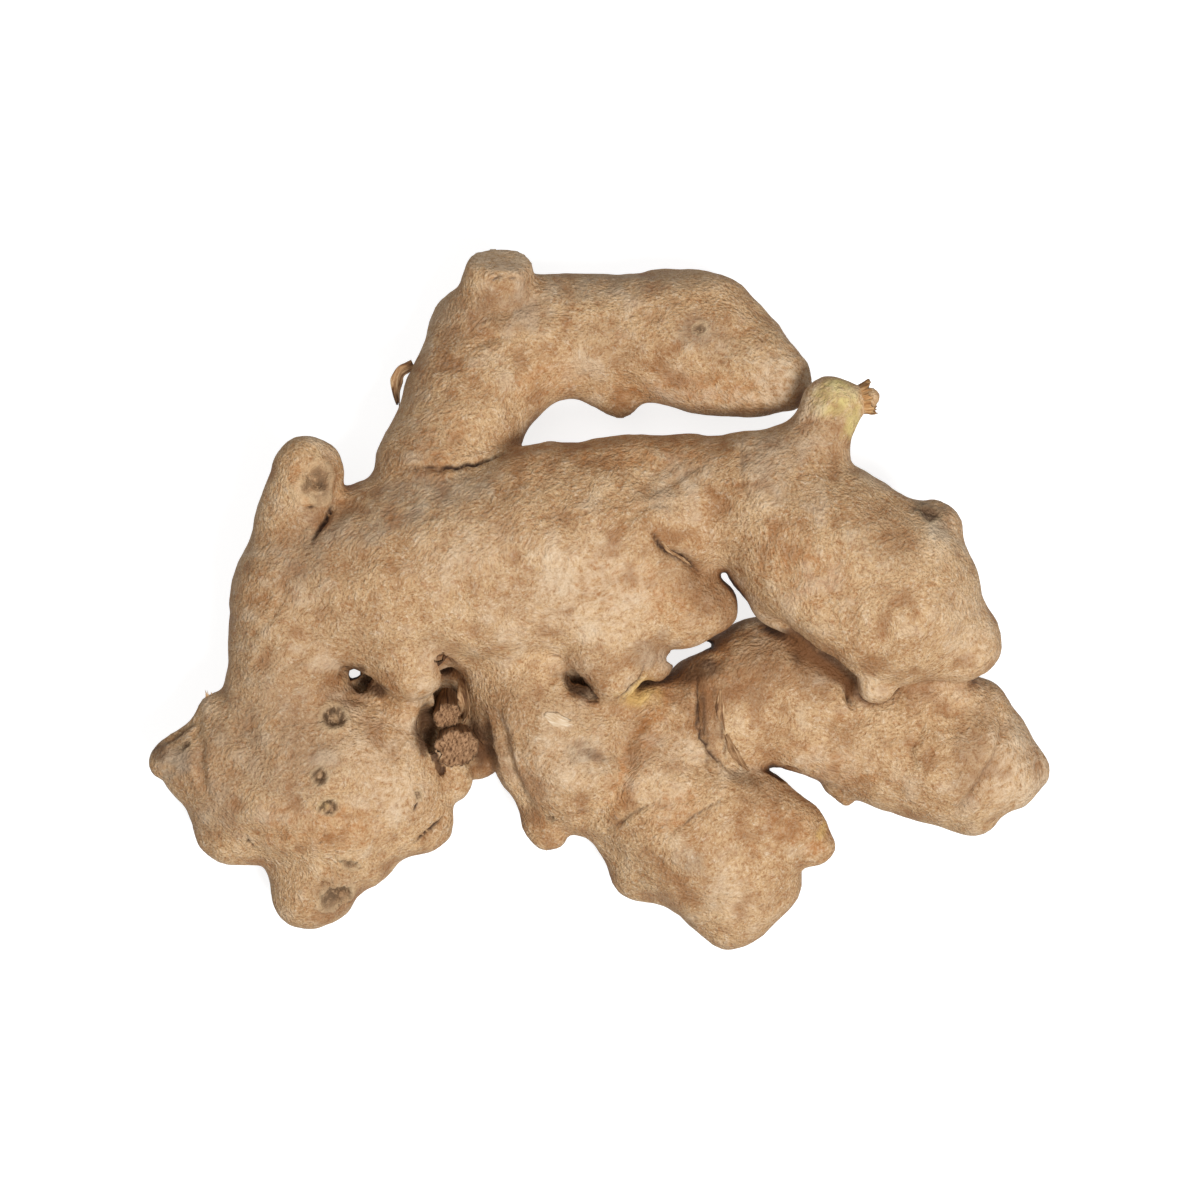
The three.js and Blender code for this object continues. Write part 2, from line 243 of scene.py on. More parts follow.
BRANCHES: tuple[Branch, ...] = (
    Branch("mother", 1, (
        (-47, -30, 13, 13.5), (-52, -15, 15, 10.6), (-48.2, -0.2, 17, 12.2), (-34.5, 4.2, 18.5, 15.8),
        (-18.5, 6.6, 19, 17.4), (-2.5, 9.4, 19.5, 17.2), (8, 13.6, 19.5, 13.7), (18, 15.9, 20.5, 11.2),
        (27, 16, 22, 12.2), (33, 11.6, 22.6, 13.2), (39, 6.8, 23, 14.7), (47.3, 0.6, 23, 14.9),
    )),
    Branch("mother_upper_bud", 2.5, ((50, 8, 24, 6.2), (55.4, 11.9, 23, 4))),
    Branch("mother_lower_bud", 3, ((52, -2, 22, 10), (59.8, -6.7, 20.5, 7))),
    Branch("left_stem_stub", 3, (
        (-50, 1, 17, 10), (-50.2, 10, 20, 7.2), (-49.6, 16.5, 22.5, 6.2), (-48.5, 20.5, 24, 6),
    ), StemScar((-45.8, 20.5, 27.6), (0.55, 0.25, 0.8))),
    Branch("column_spur", 2, ((-58, -22, 14, 7), (-63, -18.8, 15, 3.4))),
    Branch("chin", 3, ((-33, -2, 21, 9), (-31, -10.3, 22, 6.7))),
    Branch("beak", 2.5, ((3, 3, 21, 11), (11, 0, 21.5, 8.1), (18.6, -1.6, 21, 4.5))),
    Branch("shoot", 3, (
        (28.5, 15, 22, 9.5), (32, 21.5, 22.8, 6.9), (35.8, 26.7, 24, 5.7), (38.5, 31.9, 25, 5.4),
    )),
    Branch("shoot_scale", 1.5, ((39, 32.3, 25, 3.6), (44.5, 33, 25, 2.3))),
    Branch("knob", 4, (
        (-38, -28.5, 12, 12.8), (-46, -30, 11.8, 14.4), (-56, -30, 12, 12), (-63.8, -27.6, 13, 8.4),
        (-69.2, -26.1, 14, 4.7), (-71.7, -26.4, 14.5, 3.4),
    )),
    Branch("knob_lower_left", 3, ((-54, -33, 11, 9), (-60, -37.2, 10.5, 7.7))),
    Branch("knob_toe", 3, ((-47, -36, 10.5, 10), (-47.5, -48, 9.5, 7.5))),
    Branch("knob_bottom", 3, ((-43, -34, 11.5, 10), (-40.8, -41, 11, 7.9))),
    Branch("knob_heel", 3, ((-38, -32.5, 12, 9), (-31.4, -37.3, 11.5, 6.3))),
    Branch("knob_side_bud", 1.5, ((-31, -29, 11, 6), (-25.2, -29.2, 12, 4))),
    Branch("recess_floor", 2, (
        (-41, -13, 11, 6), (-33, -14, 10, 6), (-24.5, -18, 8.5, 6), (-26, -27, 8, 5),
    )),
    Branch("middle_finger", 3, (
        (-14, -3, 14, 12), (-11, -13, 13.5, 11.8), (-5.2, -24.3, 12.8, 12.8), (-2, -27, 12.5, 12),
    )),
    Branch("middle_finger_nub", 1.5, (
        (-8.4, -31, 12, 6), (-9.3, -37.2, 12.6, 4.2), (-8.8, -39.1, 12.6, 3.5),
    )),
    Branch("lower_finger", 3, (
        (-1, -24, 13, 12), (10.7, -33.2, 11.5, 13.6), (16.5, -39.2, 11.7, 13.1), (21, -43.8, 10.2, 11.8),
        (22.6, -51.3, 9.5, 7),
    )),
    Branch("cavity_shelf", 1.5, ((-25, -22, 8, 5), (-20, -26.6, 9, 3.6))),
    Branch("lower_finger_cheek", 2, ((6, -37, 11, 7), (4.4, -39, 11, 5.6))),
    Branch("lower_finger_side", 2, ((25, -42, 11, 7), (27, -46.4, 10, 6.6))),
    Branch("lower_finger_shoulder", 2.5, ((12, -41, 11, 8), (7.4, -44.3, 10.5, 6.2))),
    Branch("lower_finger_brow", 2.5, ((20, -35, 13, 8), (26.3, -34, 13, 5.2))),
    Branch("lower_finger_bud", 2.5, ((22, -38, 13.5, 9), (31, -38.6, 14, 6.3), (35.8, -41, 14.5, 3.6))),
    Branch("right_finger", 2.5, (
        (8, -22, 12.5, 10.5), (16, -20.6, 12.5, 10.1), (22.5, -17.2, 12, 11.6), (29, -15.4, 11.4, 12.3),
        (36, -18.3, 11, 11.5), (43, -20.7, 10.7, 11.4), (52, -24, 10.3, 11.8), (59.5, -25.8, 10.4, 12.2),
        (66, -27.8, 10.4, 8.1), (71.9, -28.6, 10.6, 3.9),
    )),
    Branch("right_finger_toe", 2.5, ((60, -29, 10.5, 8), (62.6, -35, 10.2, 4))),
    Branch("right_finger_brow", 2, ((52, -16.8, 14.5, 6), (57, -17.4, 14.8, 6.1), (63, -18.4, 12.8, 5.5))),
    Branch("right_finger_tooth", 0.8, ((40.6, -29.6, 9, 4), (41.2, -33, 9, 1.5))),
    Branch("right_finger_corner", 2, ((65, -29, 10.4, 6.5), (69, -31.6, 10.3, 3.8))),
    Branch("pale_nub", 1.5, ((44.8, -11, 21.5, 4), (45.4, -14.4, 24, 3.3))),
    Branch("right_lobe_edge", 1.5, ((26.6, 6.1, 21, 5), (28.1, 3.8, 21, 5.1), (29.8, 0.4, 21, 5.2))),
    Branch("lip_bridge", 1, ((5, -8.6, 22.5, 3.6), (9.2, -10.4, 19.5, 2.9))),
    Branch("chin_bridge", 1.5, ((-35.4, -15.6, 16.6, 3.6), (-31.4, -16.8, 17, 4.4))),
    Branch("lip", 2.5, ((1.5, -6, 22.5, 8), (2.1, -13, 23, 4))),
    Branch("top_finger", 2, (
        (-26.5, 15, 19, 11), (-26, 22, 17.5, 10.7), (-23.2, 28.8, 15, 10.3), (-20.4, 35.8, 12.5, 10.8),
        (-14.3, 41.9, 10.5, 10.9), (-6, 44, 9.5, 10.2), (3.2, 44, 9, 10.4), (10.5, 44.1, 9.3, 11.2),
        (15.6, 43.8, 9.7, 11.6), (21, 41.4, 11, 9.4), (26, 38.7, 13.4, 7.4), (30, 36.8, 16.4, 4.9),
    )),
    Branch("top_finger_upper_corner", 2, ((28, 38.8, 15.4, 5), (31.6, 38.1, 17.4, 3))),
    Branch("top_finger_lower_corner", 2, ((17, 38, 11, 7), (25, 36, 14, 5.2), (31.6, 34.4, 17.4, 3))),
    Branch("top_finger_shoulder", 3, ((-18, 40, 11, 8), (-20.9, 44.2, 11, 7.6))),
    Branch("top_finger_nub", 2, ((0.5, 38, 9.5, 6), (1.6, 33.8, 9.5, 3), (3.6, 33.2, 9.5, 3))),
    Branch("top_stem_stub", 3, (
        (-17, 42, 12, 8), (-17.6, 50, 14.5, 6), (-16.6, 56, 16.5, 5.5), (-16.2, 64, 18.5, 5.3),
    ), StemScar((-16.5, 55.6, 18), (0.1, 0.86, 0.5))),
)


class DistanceGrid:
    """Signed distances from the skin in mm at the points of a regular grid, negative inside."""

    FLATTEN = 0.88
    REACH = 4.5
    SWELLING = 0.4
    SWELLING_LENGTH = 17.0
    SCAR_RIM = 1.2

    def __init__(self, branches: Sequence[Branch], cell: Triple) -> None:
        """Makes the empty grid round all the branches and melts them in.

        Args:
            branches: the branches, in the order in which they are joined.
            cell: the grid's step along x, y and z in mm.
        """
        self.cell = np.array(cell)
        self.low, high = self._extent(np.vstack([branch.balls() for branch in branches]))
        counts = np.ceil((high - self.low) / self.cell).astype(int) + 1
        self.axes = [self.low[a] + self.cell[a] * np.arange(counts[a]) for a in range(3)]
        self.values = np.full(counts, self.REACH, np.float32)
        for branch in branches:
            self._melt_in(branch)
        self._swell()

    def _extent(self, balls: np.ndarray) -> tuple[np.ndarray, np.ndarray]:
        """Returns the low and high corners in mm of the room that a row of balls changes.

        Args:
            balls: each ball's centre and radius in mm.

        Returns:
            The two corners.
        """
        low = (balls[:, :3] - balls[:, 3:]).min(0) - self.REACH
        high = (balls[:, :3] + balls[:, 3:]).max(0) + self.REACH
        return low, high

    def _window(self, low: np.ndarray, high: np.ndarray) -> tuple[slice, ...]:
        """Returns the slices of the grid that a box in mm covers.

        Args:
            low: the box's low corner.
            high: the box's high corner.

        Returns:
            One slice for each axis.
        """
        first = np.maximum(np.floor((low - self.low) / self.cell).astype(int), 0)
        last = np.ceil((high - self.low) / self.cell).astype(int) + 1
        return tuple(slice(int(a), int(b)) for a, b in zip(first, last))

    def _offsets(self, window: tuple[slice, ...], centre: Sequence[float]) -> list[np.ndarray]:
        """Returns a window's distances along x, y and z from a point, ready to be broadcast."""
        x, y, z = (self.axes[a][window[a]] - centre[a] for a in range(3))
        return [x[:, None, None], y[None, :, None], z[None, None, :]]

    def _track(self, balls: np.ndarray, through: bool = False) -> tuple[tuple[slice, ...], np.ndarray]:
        """Measures the distance to a row of balls, or of upright columns.

        Args:
            balls: each ball's centre and radius in mm.
            through: whether the balls are drawn out into columns of any height.

        Returns:
            The window of the grid that they reach, and its distances.
        """
        low, high = self._extent(balls)
        if through:
            low[2], high[2] = self.axes[2][0], self.axes[2][-2]
        whole = self._window(low, high)
        nearest = np.full(self.values[whole].shape, self.REACH, np.float32)
        for ball in balls:
            window = self._window(ball[:3] - ball[3] - self.REACH, ball[:3] + ball[3] + self.REACH)
            if through:
                window = (*window[:2], whole[2])
            x, y, z = self._offsets(window, ball[:3])
            z = z * (not through)
            distance = np.sqrt(x * x + y * y + (z / self.FLATTEN) ** 2) - ball[3]
            local = tuple(slice(w.start - o.start, w.stop - o.start) for w, o in zip(window, whole))
            view = nearest[local]
            np.minimum(view, distance[: view.shape[0], : view.shape[1], : view.shape[2]], out=view)
        return whole, nearest

    def _melt_in(self, branch: Branch) -> None:
        """Joins one branch to the grid's distances.

        Args:
            branch: the branch to melt in.
        """
        whole, nearest = self._track(branch.balls())
        if branch.scar:
            facing = np.array(branch.scar.facing) / np.linalg.norm(branch.scar.facing)
            x, y, z = self._offsets(whole, branch.scar.at)
            plane = x * facing[0] + y * facing[1] + z * facing[2]
            shape = nearest.shape
            nearest = -melted_min(-nearest, -plane[: shape[0], : shape[1], : shape[2]], self.SCAR_RIM)
        self.values[whole] = melted_min(self.values[whole], nearest, branch.melt)

    def _swell(self) -> None:
        """Adds three crossed waves, so that no two stretches of a finger swell alike."""
        turn = 2 * math.pi / self.SWELLING_LENGTH
        x, y, z = (self.axes[0][:, None, None], self.axes[1][None, :, None], self.axes[2][None, None, :])
        waves = (
            np.sin(turn * (x + 0.4 * y)) + np.sin(turn * (y - 0.5 * z) + 1) + np.sin(turn * (z + 0.3 * x) + 2)
        )
        self.values += (self.SWELLING / 3 * waves).astype(np.float32)

    def carve(self, hollow: "Hollow") -> None:
        """Takes a rolled ball's track out of the rhizome.

        Args:
            hollow: the space to open.
        """
        balls = catmull_rom(np.array(hollow.stations, float), Branch.BALL_STEP)
        whole, nearest = self._track(balls, hollow.through)
        self.values[whole] = -melted_min(-self.values[whole], nearest, hollow.rim)

    def sample(self, points: np.ndarray) -> np.ndarray:
        """Reads the distances between the grid's points.

        Args:
            points: places in mm, one to a row.

        Returns:
            One signed distance for each place.
        """
        scaled = (points - self.low) / self.cell
        top = np.array(self.values.shape) - 2
        cell = np.clip(np.floor(scaled).astype(int), 0, top)
        t = np.clip(scaled - cell, 0, 1)
        total = np.zeros(len(points))
        for corner in CORNERS:
            weight = np.prod(np.where(corner, t, 1 - t), axis=1)
            i, j, k = (cell + corner).T
            total += weight * self.values[i, j, k]
        return total

    def net(self) -> tuple[np.ndarray, np.ndarray]:
        """Meshes the skin, with one point in each cell that it passes through.

        Returns:
            The points in mm and the four corners of each face.
        """
        inside = self.values < 0
        shape = np.array(inside.shape) - 1
        count = np.zeros(shape, np.int8)
        for corner in CORNERS:
            count += inside[tuple(slice(o, o + n) for o, n in zip(corner, shape))]
        mixed = (count > 0) & (count < 8)
        number = np.full(shape, -1, np.int64)
        number[mixed] = np.arange(mixed.sum())
        cells = np.argwhere(mixed)
        total = np.zeros((len(cells), 3))
        crossings = np.zeros(len(cells))
        for corner in CORNERS:
            for axis in range(3):
                if corner[axis]:
                    continue
                near = cells + corner
                far = near + np.eye(3, dtype=int)[axis]
                a = self.values[tuple(near.T)].astype(float)
                b = self.values[tuple(far.T)].astype(float)
                crosses = (a < 0) != (b < 0)
                share = np.where(crosses, a / np.where(crosses, a - b, 1), 0)
                point = near + share[:, None] * np.eye(3)[axis]
                total += np.where(crosses[:, None], point, 0)
                crossings += crosses
        points = self.low + self.cell * total / crossings[:, None]
        quads = []
        for axis in range(3):
            u, v = np.eye(3, dtype=int)[(axis + 1) % 3], np.eye(3, dtype=int)[(axis + 2) % 3]
            step = np.eye(3, dtype=int)[axis]
            near = inside[tuple(slice(0, n - s) for n, s in zip(inside.shape, step))]
            far = inside[tuple(slice(s, n) for n, s in zip(inside.shape, step))]
            edges = np.argwhere(near != far)
            square = np.stack([number[tuple((edges - o).T)] for o in (0 * u, u, u + v, v)], axis=1)
            outward = near[tuple(edges.T)]
            quads.append(np.where(outward[:, None], square, square[:, ::-1]))
        return points, np.vstack(quads)


@dataclass(frozen=True)
class Hollow:
    """A space between branches, opened by rolling a ball through them.

    Args:
        name: what the space is.
        rim: the rounding of its edge in mm.
        stations: x, y, z and radius in mm.
        through: whether it goes right through, whatever the heights of its stations.
    """

    name: str
    rim: float
    stations: Sequence[Station]
    through: bool = False


HOLLOWS: tuple[Hollow, ...] = (
    Hollow("pinhole", 0.3, ((-41.4, -12.5, 15, 0.5), (-40.5, -12.4, 15, 0.5)), through=True),
    Hollow("pinhole_cave", 0.6, (
        (-42.6, -11.8, 20, 1.3), (-40.6, -11.4, 19, 1.7), (-38.8, -12.4, 17, 1.5),
    )),
    Hollow("pinhole_recess", 0.8, ((-39.6, -14, 15.6, 1.8), (-37, -15, 15, 2.4), (-35.8, -16, 16, 1.5))),
    Hollow("beak_slit", 0.4, (
        (11.6, -10, 15, 1), (14.6, -8.8, 15, 0.9), (18.4, -7.8, 15, 0.6),
    ), through=True),
    Hollow("chin_gap", 0.8, (
        (-26.4, -9.6, 25.5, 0.8), (-25.2, -12, 22, 1.6), (-25, -15, 17, 2.4), (-25.6, -17, 12, 2.6),
    )),
    Hollow("cavity_left", 0.5, ((-27, -18.6, 20, 2), (-28.2, -21.8, 16, 3), (-28.2, -25, 13, 2.4))),
    Hollow("cavity_left_mouth", 0.4, ((-27.4, -20.2, 23, 1.8), (-28, -22.8, 22, 2), (-28, -25, 20, 1.4))),
    Hollow("cavity_rim", 0.4, ((-28.4, -25.4, 17.5, 1.1), (-26.4, -28.6, 16, 0.8))),
    Hollow("cavity_right", 0.5, (
        (-21.6, -17, 21, 1.5), (-20.2, -21.6, 18, 2.2), (-18.6, -25.8, 14.6, 2.2),
    )),
    Hollow("lobe_edge_high", 1.2, (
        (29.6, -6.6, 30, 3.5), (34.6, -10.2, 30, 3.6), (39.8, -13.9, 29.5, 3.4),
    )),
    Hollow("lobe_edge_low", 1.2, ((29.6, -6.6, 25, 3.4), (34.6, -10.2, 25, 3.6), (39.8, -13.9, 24.6, 3.3))),
    Hollow("lobe_cleft", 0.4, (
        (32.6, -5.4, 22.6, 1.6), (37, -8.6, 22, 2), (41.4, -12.2, 21, 1.8), (42.2, -14.8, 21.6, 1),
    )),
    Hollow("lip_hole", 0.3, ((-5.8, -12.7, 25.2, 1.1), (-3.6, -13.6, 23, 2.2), (-1, -15, 22.2, 2))),
    Hollow("lip_undercut", 0.3, ((-5, -11.6, 20, 2), (-1.5, -12.4, 19, 2.8), (1.5, -14, 19, 2))),
    Hollow("lip_crack", 0.4, (
        (0.4, -16.8, 25.4, 0.6), (3.7, -17.7, 24.4, 0.7), (6.7, -14.4, 20.6, 0.8), (8.6, -11.8, 18, 0.8),
    )),
    Hollow("stub_dish", 0.6, ((-46.4, 20.6, 29.8, 3), (-45.8, 17.8, 30.2, 3))),
    Hollow("finger_trough", 0.4, (
        (18.6, -14.2, 23, 1.7), (18.3, -18, 23.6, 2), (18.8, -23, 23, 1.9), (21.6, -27.4, 20.8, 1.6),
    )),
)


# ------------------------------------------------------------------------------- the skin's surface


class SkinMesh:
    """The skin's points, faces and painted masks while they are being worked."""

    def __init__(self, grid: DistanceGrid) -> None:
        """Meshes the skin.

        Args:
            grid: the distances to mesh.
        """
        self.grid = grid
        self.points, self.quads = grid.net()
        self.masks: dict[str, np.ndarray] = {}
        self.normals = self._normals()

    def _normals(self) -> np.ndarray:
        """Returns each point's outward direction, from the faces round it.

        Returns:
            One unit vector for each point.
        """
        a, b, c, d = (self.points[self.quads[:, i]] for i in range(4))
        face = np.cross(c - a, d - b)
        total = np.zeros_like(self.points)
        for i in range(4):
            for axis in range(3):
                total[:, axis] += np.bincount(self.quads[:, i], face[:, axis], len(self.points))
        return total / np.maximum(np.linalg.norm(total, axis=1, keepdims=True), 1e-9)

    def relax(self, rounds: int, share: float = 0.5) -> None:
        """Evens the points out towards their neighbours.

        Args:
            rounds: how many times.
            share: how far each point goes to the middle of its neighbours.
        """
        edges = np.vstack([self.quads[:, [i, (i + 1) % 4]] for i in range(4)])
        degree = np.bincount(edges[:, 0], minlength=len(self.points))
        for _ in range(rounds):
            ends = self.points[edges[:, 1]]
            sums = [np.bincount(edges[:, 0], ends[:, axis], len(self.points)) for axis in range(3)]
            self.points += share * (np.stack(sums, axis=1) / degree[:, None] - self.points)
        self.normals = self._normals()

    def raise_by(self, height: np.ndarray) -> None:
        """Moves the points outwards by these heights in mm, and inwards where they are negative."""
        self.points += self.normals * height[:, None]
        self.normals = self._normals()

    def tree(self) -> BVHTree:
        """Returns a search tree of the faces, for finding the surface under a point."""
        return BVHTree.FromPolygons(self.points.tolist(), self.quads.tolist())

    def near(self, centre: np.ndarray, reach: float) -> np.ndarray:
        """Returns the numbers of the points that lie within a distance of a place.

        Args:
            centre: the place, in mm.
            reach: the distance in mm.

        Returns:
            The numbers, in order.
        """
        box = np.all(np.abs(self.points - centre) < reach, axis=1)
        found = np.flatnonzero(box)
        return found[np.linalg.norm(self.points[found] - centre, axis=1) < reach]


class Surface:
    """Finds places on the finished skin."""

    ABOVE = 80.0
    MIDDLE = 15.0

    def __init__(self, skin: SkinMesh) -> None:
        """Builds the search tree once.

        Args:
            skin: the mesh to search.
        """
        self.tree = skin.tree()

    def top(self, x: float, y: float) -> np.ndarray:
        """Returns the highest place on the skin at x and y, or the nearest one if there is none.

        Args:
            x: where to look, in mm.
            y: where to look, in mm.

        Returns:
            The place, in mm.
        """
        hit = self.tree.ray_cast(Vector((x, y, self.ABOVE)), Vector((0, 0, -1)))[0]
        if hit is None:
            hit = self.tree.find_nearest(Vector((x, y, self.MIDDLE)))[0]
        return np.array(hit)

    def nearest(self, place: Sequence[float]) -> tuple[np.ndarray, np.ndarray]:
        """Returns the nearest place on the skin to a point, and its outward direction."""
        hit, normal = self.tree.find_nearest(Vector(place))[:2]
        return np.array(hit), np.array(normal)


class Eye(Enum):
    """What is in the middle of a round scar."""

    SUNKEN = "sunken"
    KNOB = "knob"
    RAGGED = "ragged"


@dataclass(frozen=True)
class EyeScar:
    """A round scar where a root, a bud or a small stem was.

    Args:
        at: x and y of its middle in mm.
        radius: the radius of its rim in mm.
        depth: how deep it is in mm.
        eye: what is in its middle.
        z: its height in mm where it isn't on top.
    """

    at: Pair
    radius: float
    depth: float
    eye: Eye = Eye.SUNKEN
    z: Optional[float] = None

    REACH = 2.5
    PIT = 0.7
    RIM_HEIGHT = 0.55
    RIM_WIDTH = 0.24
    UNEVEN = 0.25
    TORN = 0.5
    KNOB_HEIGHT = 1.1
    KNOB_WIDTH = 0.38
    # the bumps in its middle: their height, length and spread, and where in the noise they are read
    BUMPS = {Eye.SUNKEN: (0.9, 0.5, 0.6, 20), Eye.RAGGED: (0.8, 0.45, 0.9, 0)}
    ROT = 0.85
    ROT_EDGE = (1.05, 0.4)
    RING = 0.6
    RING_WIDTH = 0.28

    def press(self, skin: SkinMesh, surface: Surface, noise: Noise) -> None:
        """Presses the scar into the skin and paints its mask.

        Args:
            skin: the mesh to work.
            surface: finds where the scar goes.
            noise: makes its rim uneven.
        """
        if self.z is None:
            centre = surface.top(*self.at)
        else:
            centre = surface.nearest((*self.at, self.z))[0]
        found = skin.near(centre, self.REACH * self.radius)
        places = skin.points[found]
        share = self.TORN if self.eye is Eye.RAGGED else self.UNEVEN
        uneven = 1 + share * noise.at(places, 1.1 * self.radius, 3)
        q = np.linalg.norm(places - centre, axis=1) / (self.radius * uneven)
        rim = self.RIM_HEIGHT * np.exp(-(((q - 1) / self.RIM_WIDTH) ** 2))
        height = rim - np.exp(-((q / self.PIT) ** 4)) + self._middle(q, places, noise)
        skin.points[found] += skin.normals[found] * (self.depth * height)[:, None]
        skin.masks["scar"][found] = np.minimum(skin.masks["scar"][found], q)
        if self.eye is Eye.RAGGED:
            rot = self.ROT * smooth_step(q, *self.ROT_EDGE)
        else:
            rot = np.exp(-(((q - self.RING) / self.RING_WIDTH) ** 4))
        skin.masks["rot"][found] = np.maximum(skin.masks["rot"][found], rot)

    def _middle(self, q: np.ndarray, places: np.ndarray, noise: Noise) -> np.ndarray:
        """Shapes what stands in the middle of the scar.

        Args:
            q: each place's distance from the middle, as a share of the rim's.
            places: the places in mm.
            noise: makes the bumps.

        Returns:
            The height of each place, as a share of the scar's depth.
        """
        if self.eye is Eye.KNOB:
            return self.KNOB_HEIGHT * np.exp(-((q / self.KNOB_WIDTH) ** 2))
        height, length, spread, offset = self.BUMPS[self.eye]
        return height * noise.at(places + offset, length * self.radius, 2) * np.exp(-((q / spread) ** 2))


@dataclass(frozen=True)
class Crack:
    """A crack or fold line along the top of the skin.

    Args:
        path: x and y in mm of the points that it runs through.
        width: its half width in mm.
        depth: how deep it is in mm.
        dark: how much painted shade darkens its bottom, from 0 to 1.
    """

    path: Sequence[Pair]
    width: float
    depth: float
    dark: float = 1.0

    STEP = 0.3
    REACH = 3.0
    WANDER = 0.25
    WANDER_LENGTH = 1.5
    LIP_HEIGHT = 0.25
    LIP_PLACE = 2.1
    DARK_SHARE = 0.8

    def press(self, skin: SkinMesh, surface: Surface, noise: Noise) -> None:
        """Presses the crack into the skin and paints the shade along its bottom into its mask.

        Args:
            skin: the mesh to work.
            surface: finds where the crack goes.
            noise: makes it wander.
        """
        flat = np.array([(x, y, 0.0) for x, y in self.path])
        line = catmull_rom(flat, self.STEP)
        line[:, 0] += self.WANDER * noise.at(line, self.WANDER_LENGTH, 2)
        line[:, 1] += self.WANDER * noise.at(line + 40, self.WANDER_LENGTH, 2)
        line = np.array([surface.top(x, y) for x, y, _ in line])
        low, high = line.min(0) - self.REACH, line.max(0) + self.REACH
        found = np.flatnonzero(np.all((skin.points > low) & (skin.points < high), axis=1))
        places = skin.points[found]
        distance = np.full(len(found), self.REACH)
        share = np.zeros(len(found))
        for i, place in enumerate(line):
            d = np.linalg.norm(places - place, axis=1)
            closer = d < distance
            distance[closer] = d[closer]
            share[closer] = i / len(line)
        taper = np.sqrt(np.clip(4 * share * (1 - share), 0, 1))
        groove = np.exp(-((distance / self.width) ** 2)) * taper
        lip = np.exp(-(((distance - self.LIP_PLACE * self.width) / self.width) ** 2)) * taper
        skin.points[found] += skin.normals[found] * (self.depth * (self.LIP_HEIGHT * lip - groove))[:, None]
        # painted shade along the bottom of the crack
        shade_line = np.exp(-((distance / (self.DARK_SHARE * self.width)) ** 2)) * taper * self.dark
        skin.masks["crack"][found] = np.maximum(skin.masks["crack"][found], shade_line)


class Tint(Enum):
    """A change of the skin's colour over a patch; some of them carry painted shade and light."""

    GREY = "grey"
    WARM = "warm"
    # brown skin, and in crevices and along the right lobe's edge also painted shade
    BROWN = "brown"
    # pale scuffed cork, and in places also painted light
    PALE_AND_PAINTED_LIGHT = "pale"
    SHOOT = "shoot"
    FLESH = "flesh"
    # painted shade in recesses, gaps and under overhangs, not a colour of the skin
    DARK = "dark"


@dataclass(frozen=True)
class Patch:
    """A soft-edged patch of skin of another colour.

    Args:
        tint: what the skin turns to.
        at: x and y of its middle in mm.
        radii: its half lengths along and across in mm.
        turn: how far its length is turned from +X, in degrees.
        strength: how much it shows, from 0 to 1.
        above: the height in mm that it starts at.
        below: the height in mm that it ends at.
    """

    tint: Tint
    at: Pair
    radii: Pair
    turn: float
    strength: float
    above: float = -1.0
    below: float = 99.0

    EDGE = 0.45
    RAGGED = 0.35

    def paint(self, skin: SkinMesh, noise: Noise) -> None:
        """Paints the patch into its tint's mask.

        Args:
            skin: the mesh to paint.
            noise: makes its edge ragged.
        """
        turn = math.radians(self.turn)
        x, y = skin.points[:, 0] - self.at[0], skin.points[:, 1] - self.at[1]
        along = (x * math.cos(turn) + y * math.sin(turn)) / self.radii[0]
        across = (y * math.cos(turn) - x * math.sin(turn)) / self.radii[1]
        height = skin.points[:, 2]
        level = (height > self.above) & (height < self.below)
        found = np.flatnonzero((along**2 + across**2 < 4) & level)
        ragged = self.RAGGED * noise.at(skin.points[found], 0.7 * min(self.radii) + 1, 3)
        q = np.sqrt(along[found] ** 2 + across[found] ** 2) + ragged
        value = self.strength * smooth_step(q, 1 + self.EDGE, 1 - self.EDGE)
        mask = skin.masks[self.tint.value]
        mask[found] = np.maximum(mask[found], value)


def patches(tint: Tint, *rows: tuple[float, ...]) -> tuple[Patch, ...]:
    """Makes patches of one tint.

    Args:
        tint: what the skin turns to there.
        rows: each patch's x and y, its two radii, its turn and its strength, and where it isn't painted at
            every height, the heights that it starts and ends at.

    Returns:
        The patches.
    """
    return tuple(Patch(tint, (x, y), (along, across), *rest) for x, y, along, across, *rest in rows)


EYE_SCARS: tuple[EyeScar, ...] = (
    EyeScar(at=(-43.4, -19.6), radius=2.3, depth=1),
    EyeScar(at=(-46.2, -29.1), radius=1.6, depth=0.8),
    EyeScar(at=(-44.8, -34.4), radius=1.5, depth=0.7, eye=Eye.KNOB),
    EyeScar(at=(-41.6, -44), radius=1.3, depth=0.9, eye=Eye.RAGGED),
    EyeScar(at=(-43.8, -49.4), radius=2.3, depth=1.3, eye=Eye.RAGGED),
    EyeScar(at=(-46, 18.6), radius=2.8, depth=0.9, eye=Eye.RAGGED),
    EyeScar(at=(-8.2, -36.3), radius=0.9, depth=0.7, eye=Eye.RAGGED),
    EyeScar(at=(-68.6, -24.3), radius=0.9, depth=0.5, eye=Eye.RAGGED),
    EyeScar(at=(54.4, 14), radius=1.9, depth=0.5, eye=Eye.RAGGED),
    EyeScar(at=(16.6, 44.5), radius=1.1, depth=0.3, eye=Eye.RAGGED),
    EyeScar(at=(-30, -32.5), radius=0.8, depth=0.6, eye=Eye.RAGGED),
    EyeScar(at=(-10, 6), radius=1.6, depth=0.6, z=2),
    EyeScar(at=(30, -18), radius=1.4, depth=0.6, z=1),
    EyeScar(at=(-50, -8), radius=1.7, depth=0.6, z=3),
)

